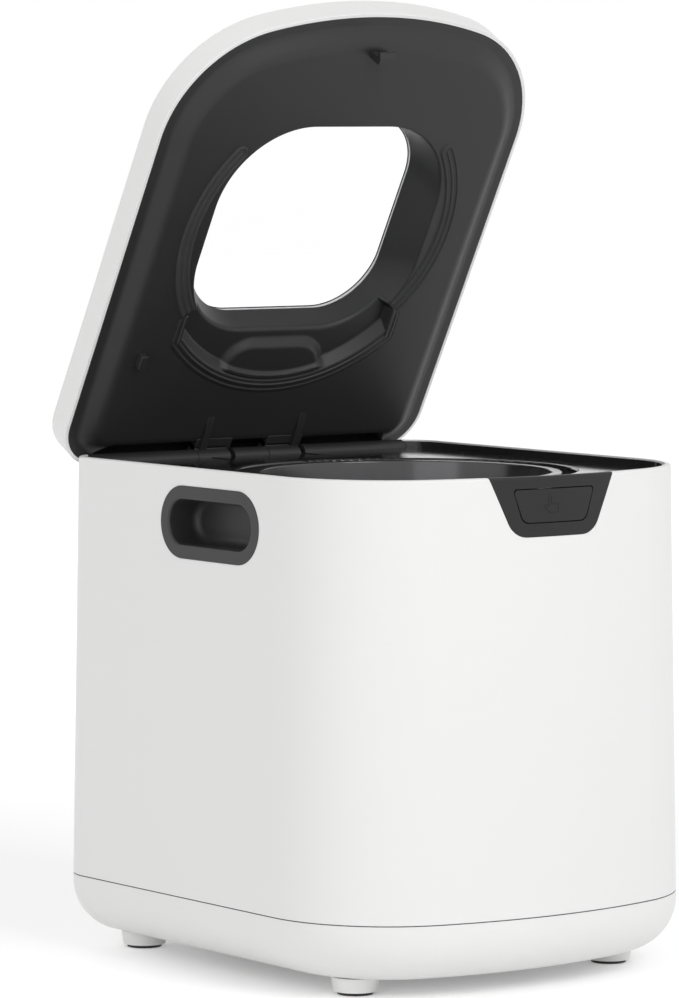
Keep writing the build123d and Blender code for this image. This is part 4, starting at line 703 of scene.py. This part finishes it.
class COMPOSTER_OT_bucket(bpy.types.Operator):
    """Builds the waste bucket: a spun metal shell with a rolled lip, and the dark coat inside it"""

    bl_idname = "composter.bucket"
    bl_label = "Bucket"

    def execute(self, context):
        top, wall, coat = BUCKET_TOP, 1.2, 0.16
        floor = top - BUCKET_DEPTH
        bottom, lip = floor - wall, top - 3.0
        foot, neck, rim, mouth = 81.0, 88.7, 94.0, 87.6
        # A dome stands in the floor's middle, with the bore of the drive in it
        dome_foot, dome_head, dome, bore = 22.0, 15.0, floor + 18, 7.25
        shell = rounded([
            (dome_foot - wall, bottom, 0.3), (foot, bottom, 14.0), (neck, lip, 0.8), (rim, lip, 1.45),
            (rim, top, 1.45), (mouth, top, 1.0), (foot - wall, floor, 12.8), (dome_foot, floor, 0.8),
            (dome_head, dome, 1.2), (bore, dome, 0.2), (bore, dome - wall, 0.2), (dome_head - wall, dome - wall, 0.3)])
        add_piece("bucket_shell", turned_mesh(shell, BUCKET_Y), "bucket", "coat", "aluminium", "bucket")
        # The coat stops short of the lip and of the bore
        slope = (mouth - (foot - wall)) / (top - floor)
        coat_top, coat_bore = top - 2.4, 9.8
        edge = mouth - slope * 2.4
        lining = rounded([
            (edge, coat_top, 0), (edge - coat, coat_top, 0.07), (foot - wall - coat, floor + coat, 12.64),
            (dome_foot + 0.3, floor + coat, 0.8), (dome_head + 0.2, dome + coat, 1.2), (coat_bore, dome + coat, 0),
            (coat_bore, dome, 0), (dome_head, dome, 1.2), (dome_foot, floor, 0.8), (foot - wall, floor, 12.8)])
        add_piece("bucket_coat", turned_mesh(lining, BUCKET_Y), "bucket", "coat", "aluminium", "bucket")
        return {"FINISHED"}


def radius_at(angles, points):
    """Radius about the ring's centre where rays at the given angles meet a closed curve, interpolated along it."""
    along, across = points[:, 0], points[:, 1] - RING_Y
    heading = np.arctan2(across, along)
    order = np.argsort(heading)
    return np.interp(angles, heading[order], np.hypot(along, across)[order], period=2 * math.pi)


def tunnel_radius(angles, height, margin=0.0):
    """Radius of the window's tunnel at a height of the closed lid: a rounded square that shrinks evenly upwards."""
    share = (height - FIELD) / (PANE_BOTTOM - FIELD)
    middle, half_x, half_y, corner = (low + share * (high - low) for low, high in zip(TUNNEL_MOUTH, TUNNEL_TOP))
    return radius_at(angles, squircle(middle, half_x + margin, half_y + margin, corner + margin, *FINE))


def rim_radius(angles, inset):
    """Radius of the rim's plan, taken in by an inset."""
    points, normals = rim_curve(8.0)
    return radius_at(angles, points - normals * inset)


def rim_angles(inset=0.0):
    """Sorted angles about the ring's centre of the rim plan's own points, taken in by an inset."""
    plan, normals = rim_curve(RIM_DENSITY)
    plan = plan - normals * inset
    return np.sort(np.arctan2(plan[:, 1] - RING_Y, plan[:, 0]))


def pocket_radius(angles, clearance=0.0):
    """Radius of the vent cover's outline: an arc whose two ends are cut straight, parallel to the lid's sides."""
    return np.minimum(POCKET_RADIUS, POCKET_HALF_WIDTH / np.maximum(np.abs(np.cos(angles)), 0.1)) - clearance


def soft_ramp(distance, width):
    """0 before a corner and the distance after it, with the parabola (d + w)^2 / 4w within a width of it."""
    bend = (distance + width) ** 2 / (4 * width)
    return np.where(distance < -width, 0, np.where(distance > width, distance, bend))


def plug_height(inset):
    """Height of the liner by its inset: flat land, a slope of 7 in 10 and the flat field, joined by parabolas."""
    slope, land, foot = 0.7, 8.0, 18.0
    return PARTING - slope * soft_ramp(inset - land, 1.8) + slope * soft_ramp(inset - foot, 3.4)


def lid_points(radius, angles, height):
    """Points at radii, angles and heights of the closed lid about the ring's centre, carried to the open lid."""
    return opened(np.stack([radius * np.cos(angles), RING_Y + radius * np.sin(angles), height + 0 * angles], axis=-1))


def from_plan(u, v, station):
    """Points of the open lid over a flat outline (u, v), at a station that is their height on the closed lid."""
    return opened(np.stack([u, v, station], axis=-1))


class Rows:
    """Rows of a lid surface about the ring's centre, each with a radius and a height at every angle."""

    def __init__(self, angles):
        self.angles, self.radii, self.heights = angles, [], []

    def __call__(self, radius, height):
        """Adds a row."""
        self.radii.append(radius + 0 * self.angles)
        self.heights.append(height + 0 * self.angles)

    def split(self, mask, inside, outside):
        """Adds a row with one radius and height inside a mask and another outside it."""
        self(np.where(mask, inside[0], outside[0]), np.where(mask, inside[1], outside[1]))

    def points(self):
        """Grid of the rows' points."""
        return lid_points(np.array(self.radii), self.angles, np.array(self.heights))


class COMPOSTER_OT_lid_liner(bpy.types.Operator):
    """Builds the lid's black liner: tunnel, field, soft-edged plug and land, with the pocket of the vent cover"""

    bl_idname = "composter.lid_liner"
    bl_label = "Lid liner"

    def within(self, angles, half_turn):
        """Mask of the angles within a half turn of the rear; of two equal angles at its end, one is inside."""
        from_rear = np.abs(angles - math.pi / 2)
        after = np.isclose(np.diff(angles, prepend=angles[0] - 1), 0)
        before = np.isclose(np.diff(angles, append=angles[-1] + 1), 0)
        inward = np.where(angles < math.pi / 2, after, before)
        return (from_rear < half_turn - 1e-6) | (np.isclose(from_rear, half_turn) & inward)

    def execute(self, context):
        field_inset, plan_inset = 24.0, 14.0
        ceiling, mouth_round, wall = 306.7, 0.8, 2.0
        back, pocket_back, hinge_back = FIELD + wall, 309.0, 317.0
        pocket_turn, back_turn = math.radians(54.7), math.radians(56.4)
        cut_end = math.acos(POCKET_HALF_WIDTH / POCKET_RADIUS)
        # Angles are doubled at the ends of the pocket and of the back over it, where a wall stands upright
        ends = [np.full(2, math.pi / 2 + side * turn) for side in (-1, 1) for turn in (pocket_turn, back_turn)]
        angles = np.sort(np.concatenate([rim_angles(plan_inset)] + ends + [[cut_end, math.pi - cut_end]]))
        in_pocket, in_back = self.within(angles, pocket_turn), self.within(angles, back_turn)
        mouth = tunnel_radius(angles, FIELD)
        outer = rim_radius(angles, field_inset)
        middle = mouth + 0.5 * (outer - mouth)
        blend_end, blend_run = math.radians(66), math.radians(9)
        share = smooth_step((blend_end - np.abs(angles - math.pi / 2)) / blend_run)
        middle = middle + (pocket_radius(angles) - middle) * share
        row = Rows(angles)
        # Tunnel wall, down to its rounded mouth or to the pocket's ceiling
        for step in np.linspace(0, 1, 14):
            low = PANE_BOTTOM - step * (PANE_BOTTOM - FIELD - mouth_round)
            short = PANE_BOTTOM - step * (PANE_BOTTOM - ceiling)
            row.split(in_pocket, (tunnel_radius(angles, short), short), (tunnel_radius(angles, low), low))
        above_ceiling, at_mouth = tunnel_radius(angles, ceiling), tunnel_radius(angles, FIELD + mouth_round)
        # Mouth: a quarter round, from the wall to the field
        for step in np.linspace(0.15, 1, 7):
            swing = step * math.pi / 2
            row.split(in_pocket, (above_ceiling + wall * step, ceiling),
                      (at_mouth + 0.5 * step + mouth_round * (1 - math.cos(swing)),
                       FIELD + mouth_round * (1 - math.sin(swing))))
        # Ceiling, then the pocket's wall down to the field
        inner = at_mouth + 0.5 + mouth_round
        for step in np.linspace(0.2, 1, 5):
            row.split(in_pocket, (above_ceiling * (1 - step) + middle * step + wall * (1 - step), ceiling),
                      (inner + (middle - inner) * step * 0.9, FIELD))
        for step in np.linspace(0.25, 1, 4):
            row.split(in_pocket, (middle, ceiling + (FIELD - ceiling) * step),
                      (inner + (middle - inner) * (0.9 + 0.1 * step), FIELD))
        for step in (0.08, 0.3, 0.6, 0.85):
            row(middle + (outer - middle) * step, FIELD)
        # Plug slope and land; between the rear corners the liner opens into a dark channel for the hinge
        channel_half, channel_outer, channel_inner = 105.0, 4.3, 16.9
        hinge_distance = RIM_REAR - RING_Y - plan_inset
        channel = (np.abs(np.tan(angles - math.pi / 2)) < channel_half / hinge_distance) & (angles > 0)
        for inset in np.concatenate([np.linspace(field_inset, 4.2, 34), [3.0, 1.8]]):
            deep = channel & (channel_outer < inset < channel_inner)
            row(rim_radius(angles, inset), np.where(deep, hinge_back - wall, plug_height(inset)))
        edge, edge_round = 1.3, 0.4
        for swing in np.linspace(0, math.pi / 2, 4):
            row(rim_radius(angles, edge + edge_round * (1 - math.sin(swing))),
                PARTING + edge_round * (1 - math.cos(swing)))
        # Hidden back, two millimetres above
        for inset, height, deep in ((edge, PARTING + wall, PARTING + wall), (2.9, PARTING + wall, hinge_back),
                                    (7.2, PARTING + wall, hinge_back), (18.5, back, hinge_back),
                                    (19.5, back, back), (field_inset, back, back)):
            row(rim_radius(angles, inset), np.where(channel, deep, height))
        row(middle + wall, back)
        row.split(in_back, (middle + wall, pocket_back), (middle, back))
        row.split(in_back, (tunnel_radius(angles, pocket_back, wall), pocket_back),
                  (tunnel_radius(angles, back, wall), back))
        row(tunnel_radius(angles, PANE_BOTTOM, wall), PANE_BOTTOM)
        add_piece("liner_shell", closed_mesh(row.points(), crease=40), "lid", "liner", "black_plastic", "lid_liner")
        return {"FINISHED"}


class COMPOSTER_OT_lid_shell(bpy.types.Operator):
    """Builds the lid's white shell, with its window opening and the recess of the touch panel, and the clear pane"""

    bl_idname = "composter.lid_shell"
    bl_label = "Lid shell and pane"

    def execute(self, context):
        angles = rim_angles()
        hole = radius_at(angles, squircle(*OPENING, *FINE))
        overhang, edge_round, hole_round, thickness, fit, parting_round = 1.0, 3.5, 0.5, 2.5, 0.15, 0.3
        row = Rows(angles)
        # Outer side, rounded edge and top, out of the parting and in to the opening
        row(rim_radius(angles, parting_round - overhang), PARTING)
        for height in np.linspace(PARTING + parting_round, LID_TOP - edge_round, 6):
            row(rim_radius(angles, -overhang), height)
        for swing in np.linspace(0, math.pi / 2, 9)[1:]:
            row(rim_radius(angles, edge_round * (1 - math.cos(swing)) - overhang),
                LID_TOP - edge_round * (1 - math.sin(swing)))
        edge = rim_radius(angles, edge_round - overhang)
        for step in np.linspace(0.1, 1, 8):
            row(edge + (hole + hole_round - edge) * step, LID_TOP)
        for swing in np.linspace(0, math.pi / 2, 5)[1:]:
            row(hole + hole_round * (1 - math.sin(swing)), LID_TOP - hole_round * (1 - math.cos(swing)))
        row(hole, LID_TOP - thickness)
        inner = rim_radius(angles, 1.2)
        for step in np.linspace(0.25, 1, 4):
            row(hole + (inner - hole) * step, LID_TOP - thickness)
        row(inner, PARTING)
        recess = squircle(PANEL_Y, PANEL_HALF_X + fit, PANEL_HALF_Y + fit, PANEL_CORNER, (4, 4), 16)
        recess = prism_mesh(recess, LID_TOP - PANEL_THICKNESS, LID_TOP + 3, from_plan)
        shell = creased(cut(closed_up(grid_mesh(row.points() * MM, True, True)), recess), 40)
        add_piece("lid_shell_white", shell, "lid", "shell", "white_shell", "lid_shell")
        pane = prism_mesh(squircle(*PANE, (8, 10), 40), PANE_BOTTOM, PANE_BOTTOM + thickness, from_plan)
        add_piece("window_pane", creased(pane, 40), "lid", "pane", "window", "lid_window")
        # Thin dark strip between pane and shell, at the opening's outer edge: painted shade that draws a grey line
        # along the opening's lip
        inset, radius, sunk = 0.2, 0.38, 0.45
        y, half_x, half_y, corner = OPENING
        ring = at_height(squircle(y, half_x - inset, half_y - inset, corner - inset, (40, 40), 60), LID_TOP - sunk)
        seal = closed_mesh(opened(bead_points(ring, radius, (0, 0, 1))))
        add_piece("pane_shade_strip", seal, "lid", "rubber", "rubber", "lid_window")
        return {"FINISHED"}


class COMPOSTER_OT_lid_hinge_leaves(bpy.types.Operator):
    """Builds the liner's knuckles, tongues, arms and switch tab as rounded bars"""

    bl_idname = "composter.lid_hinge_leaves"
    bl_label = "Hinge leaves and tab"

    def execute(self, context):
        # Outlines as (y, height) on the closed lid; bars run across it between two x
        knuckle_radius, barrel_x, arm_x, arm_half = 6.8, 26.9, 35, 2.5
        swing = np.radians(np.linspace(-169, 90, 40))[:, None]
        knuckle = (HINGE_Y, HINGE_Z) + knuckle_radius * np.concatenate([np.cos(swing), np.sin(swing)], axis=-1)
        barrel = np.concatenate([[(HINGE_Y, PARTING), (143.0, PARTING), (143.0, FIELD), (145.3, FIELD)], knuckle])
        tongue = [(147.0, PARTING), (138.0, PARTING), (138.0, FIELD), (147.0, FIELD)]
        arm = [(121.5, FIELD + 1), (121.5, FIELD), (131.5, FIELD - 1.6), (145.9, FIELD - 1.6), (145.9, FIELD + 1)]
        tab = [(73.0, FIELD + 0.5), (73.0, FIELD - 5), (82.0, FIELD - 5), (82.0, FIELD + 0.5)]
        spans = []
        for side in (-1, 1):
            spans += [(tongue, side * 13.4, side * 40.4), (barrel, side * barrel_x - 13.5, side * barrel_x + 10.9),
                      (arm, side * arm_x - arm_half, side * arm_x + arm_half)]
        spans.append((tab, -106.0, -101.0))
        bars = [prism_mesh(*span, lambda u, v, station: from_plan(station, u, v)) for span in spans]
        mesh = creased(joined_mesh(bars), 40)
        bevelled(add_piece("hinge_leaves", mesh, "lid", "liner", "black_plastic", "lid_liner"), 0.5)
        return {"FINISHED"}


class COMPOSTER_OT_vent_cover(bpy.types.Operator):
    """Builds the clip-in vent cover: a ridged ledge round a sunk floor, with a finger grip standing on it"""

    bl_idname = "composter.vent_cover"
    bl_label = "Vent cover"

    sunk_depth = 6.5
    half_turn = 54.62

    def depth(self, radius, turn):
        """Depth below the field. Each wall of the floor is a straight slope eased at both ends, wide along the
        ledge and steep at the cut ends; the grip rises again inside a rounded box; two ridges follow the outline."""
        x, y = radius * np.sin(turn), RING_Y + radius * np.cos(turn)
        ledge_radius, ledge_run, side_x, end_turn, wall_run = 106.5, 5.4, 77.6, 53.9, 1.8
        along_ledge = self.eased((ledge_radius - radius) / ledge_run, 0.14)
        at_side = self.eased((side_x - np.abs(x)) / wall_run, 0.25)
        at_end = self.eased(radius * np.sin(np.radians(end_turn) - np.abs(turn)) / wall_run, 0.25)
        floor = self.sunk_depth * np.minimum(np.minimum(along_ledge, at_side), at_end)
        grip_half_x, grip_inner_y, corner, grip_height, grip_run = 39.5, 69.0, 22.0, 4.3, 5.2
        box = np.stack([np.abs(x) - (grip_half_x - corner), (grip_inner_y + corner) - y], axis=-1)
        outside = np.hypot(np.maximum(box[..., 0], 0), np.maximum(box[..., 1], 0))
        inside = corner - outside - np.minimum(np.maximum(box[..., 0], box[..., 1]), 0)
        grip = grip_height * self.eased((inside + 0.5) / grip_run, 0.25)
        from_outline = np.minimum(POCKET_RADIUS - radius, POCKET_HALF_WIDTH - np.abs(x))
        ridges = ridge(from_outline - 5.4, 0.65, 0.85) + ridge(from_outline - 1.8, 0.35, 0.7)
        ends = smooth_step((np.radians(54.0) - np.abs(turn)) / np.radians(0.5))
        return np.maximum(floor - grip * smooth_step(floor / 4.0), 0) - ridges * ends

    def eased(self, share, ease):
        """Straight ramp from 0 to 1 whose two corners are parabolas of a half-width."""
        return soft_ramp(share, ease) - soft_ramp(share - 1.0, ease)

    def execute(self, context):
        turns = np.concatenate([np.linspace(-1, 1, 201), np.linspace(0.8, 1, 60), np.linspace(-1, -0.8, 60)])
        turns = np.unique(turns) * np.radians(self.half_turn)
        angles = math.pi / 2 - turns
        edge_round, edge_drop, back, mouth_gap, clearance = 2.0, 0.3, FIELD + 8.5, 0.4, 0.1
        mouth, low = tunnel_radius(angles, FIELD) + mouth_gap, tunnel_radius(angles, FIELD + self.sunk_depth)
        slope = (low - mouth) / self.sunk_depth
        sunk = np.maximum(self.depth(low + edge_round, turns), 0)
        edge, outer = mouth + slope * sunk, pocket_radius(angles, clearance)
        row = Rows(angles)
        # Rounded edge at the tunnel: a parabola from its wall to the floor
        for t in np.linspace(0, 1, 7)[:-1]:
            row((1 - t) ** 2 * (edge + slope * edge_round) + 2 * t * (1 - t) * edge + t * t * (edge + edge_round),
                FIELD + sunk + edge_round * (1 - t) ** 2)
        for share in np.concatenate([np.linspace(0, 0.7, 50)[:-1], np.linspace(0.7, 1, 56)]):
            radius = edge + edge_round + (outer - edge_drop - edge - edge_round) * share
            row(radius, FIELD + self.depth(radius, turns))
        row(outer, FIELD + edge_drop)
        row(outer, back)
        row(low + slope * (back - FIELD - self.sunk_depth), back)
        mesh = closed_mesh(row.points(), False, 40, fill=True)
        add_piece("vent_cover_body", mesh, "vent_cover", "liner", "black_plastic", "vent_cover")
        return {"FINISHED"}


class COMPOSTER_OT_seals(bpy.types.Operator):
    """Builds the two ridged seals beside the window"""

    bl_idname = "composter.seals"
    bl_label = "Ridged seals"

    def execute(self, context):
        half_width, middle, ridge_offset = 5.0, 96.0, 3.8
        strip_rise, edge_run, ridge_rise, ridge_half, sunk = 0.4, 0.5, 0.75, 0.62, 0.6
        start, end = math.radians(55.2), math.radians(126.0)
        half = (end - start) / 2 * middle
        # Strip flattened: run goes along it, past its end only in the rounded tip, and reach from its middle line
        run = np.concatenate([[-half], np.linspace(-half + 0.02, half, 190)[:-1],
                              half + half_width * np.sin(np.linspace(0, math.pi / 2, 24))])
        past = np.maximum(run - half, 0)
        width = np.sqrt(np.maximum(half_width ** 2 - past ** 2, 0))
        across = np.linspace(-1, 1, 49)[:, None] * width
        reach = np.hypot(across, past)
        rise = strip_rise * smooth_step((half_width - reach) / edge_run)
        for offset in (0.0, ridge_offset):
            rise = rise + ridge(reach - offset, ridge_rise, ridge_half)
        # The square end drops into the liner
        rise[:, 0] = -0.5
        base = np.full((1, len(run)), FIELD + sunk)
        turn = (start + end) / 2 + run / middle
        radius = middle + np.concatenate([across[:1], across, across[-1:]])
        height = np.concatenate([base, FIELD - rise, base])
        for side, name in ((-1, "seal_left"), (1, "seal_right")):
            mesh = closed_mesh(lid_points(radius, math.pi / 2 - side * turn, height), False, distance=2e-6)
            add_piece(name + "_strip", mesh, "lid", "rubber", "rubber", name)
        return {"FINISHED"}


class COMPOSTER_OT_button_springs(bpy.types.Operator):
    """Builds the two coil springs behind the release button as fixed coils riding on the housing; the real springs
    shorten as it is pressed, but these keep one length
    """

    bl_idname = "composter.button_springs"
    bl_label = "Button springs"

    def execute(self, context):
        wire, turns, travel = 0.35, 4, 3.0
        for name in ("button_spring_left", "button_spring_right"):
            low, high = np.array(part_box(name)) / MM
            radius = (high[0] - low[0]) / 2 - wire
            length = high[1] - low[1] - 2 * wire
            # Helix with a round wire: axis point + radius * radial, then wire * (cos radial + sin binormal), where
            # the binormal is square to the radial and to the helix. Both ends are doubled, and the outer ring of
            # each pair shrinks to a point that closes the wire.
            share = np.concatenate([[0], np.linspace(0, 1, turns * 36 + 1), [1]])[:, None]
            swing = 2 * math.pi * turns * share
            zero = 0 * swing
            radial = np.concatenate([np.cos(swing), zero, np.sin(swing)], axis=-1)
            pace = radius * 2 * math.pi * turns
            binormal = np.concatenate([length * np.sin(swing), zero + pace, -length * np.cos(swing)], axis=-1)
            binormal = binormal / math.hypot(pace, length)
            middle = np.array([(low[0] + high[0]) / 2, low[1] + wire, (low[2] + high[2]) / 2])
            line = middle + radius * radial + np.array([0, length, 0]) * share
            around = np.linspace(0, 2 * math.pi, 12, endpoint=False)[:, None]
            thickness = np.full((len(share), 1, 1), wire)
            thickness[[0, -1]] = 0
            points = line[:, None] + thickness * (np.cos(around) * radial[:, None] + np.sin(around) * binormal[:, None])
            mesh = creased(closed_up(grid_mesh(points * MM, close_v=True)), 60)
            coil = add_piece(name + "_coil", mesh, "housing", "steel", "steel", name)
            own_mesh(coil)
        return {"FINISHED"}


class COMPOSTER_OT_press_sign(bpy.types.Operator):
    """Builds the raised outline of a pressing hand on the release button"""

    bl_idname = "composter.press_sign"
    bl_label = "Pressing-hand sign"

    def execute(self, context):
        stroke, sunk = 0.32, 0.02
        outline = rounded([
            (-4.5, 290.4, 0.8), (-2.8, 290.4, 0.8), (-2.8, 286.2, 0.3), (2.3, 285.9, 0.8), (2.3, 280.7, 0.6),
            (-3.3, 280.6, 0.8), (-7.7, 283.7, 0.7), (-7.2, 285.6, 0.6), (-4.5, 284.2, 0.3)])
        # The outline lies on the bowed wall: y = x^2 / 2 bow - rear - growth
        x, z = outline[:, 0], outline[:, 1]
        line = np.stack([x, x * x / (2 * FRONT_BOW) - RIM_REAR - growth(z) + sunk, z], axis=-1)
        mesh = closed_mesh(bead_points(line, stroke, (0, -1, 0)))
        add_piece("press_sign", mesh, "release_button", "trim", "black_gloss")
        return {"FINISHED"}


class COMPOSTER_PT_panel(bpy.types.Panel):
    """Lists the composter's settings and operators"""

    bl_idname = "COMPOSTER_PT_panel"
    bl_label = "Composter"
    bl_space_type = "VIEW_3D"
    bl_region_type = "UI"
    bl_category = "Composter"

    def draw(self, context):
        layout = self.layout
        for group in (context.scene.composter_finishes, context.scene.composter_studio):
            for name in group.bl_rna.properties.keys():
                if name not in ("rna_type", "name"):
                    layout.prop(group, name)
        for operator in OPERATORS:
            layout.operator(operator.bl_idname)


OPERATORS = (
    COMPOSTER_OT_stage,
    COMPOSTER_OT_solids,
    COMPOSTER_OT_seam_shade_strip,
    COMPOSTER_OT_bucket,
    COMPOSTER_OT_lid_liner,
    COMPOSTER_OT_lid_shell,
    COMPOSTER_OT_lid_hinge_leaves,
    COMPOSTER_OT_vent_cover,
    COMPOSTER_OT_seals,
    COMPOSTER_OT_button_springs,
    COMPOSTER_OT_press_sign,
)
CLASSES = (ComposterFinishes, ComposterStudio) + OPERATORS + (COMPOSTER_PT_panel,)


def register():
    for cls in CLASSES:
        bpy.utils.register_class(cls)
    bpy.types.Scene.composter_finishes = PointerProperty(type=ComposterFinishes)
    bpy.types.Scene.composter_studio = PointerProperty(type=ComposterStudio)


def unregister():
    del bpy.types.Scene.composter_studio
    del bpy.types.Scene.composter_finishes
    for cls in reversed(CLASSES):
        bpy.utils.unregister_class(cls)


def main():
    register()
    bpy.ops.composter.stage()
    bpy.ops.composter.solids()
    bpy.ops.composter.seam_seal()
    bpy.ops.composter.bucket()
    bpy.ops.composter.lid_liner()
    bpy.ops.composter.lid_shell()
    bpy.ops.composter.lid_hinge_leaves()
    bpy.ops.composter.vent_cover()
    bpy.ops.composter.seals()
    bpy.ops.composter.button_springs()
    bpy.ops.composter.press_sign()


if __name__ == "__main__":
    main()
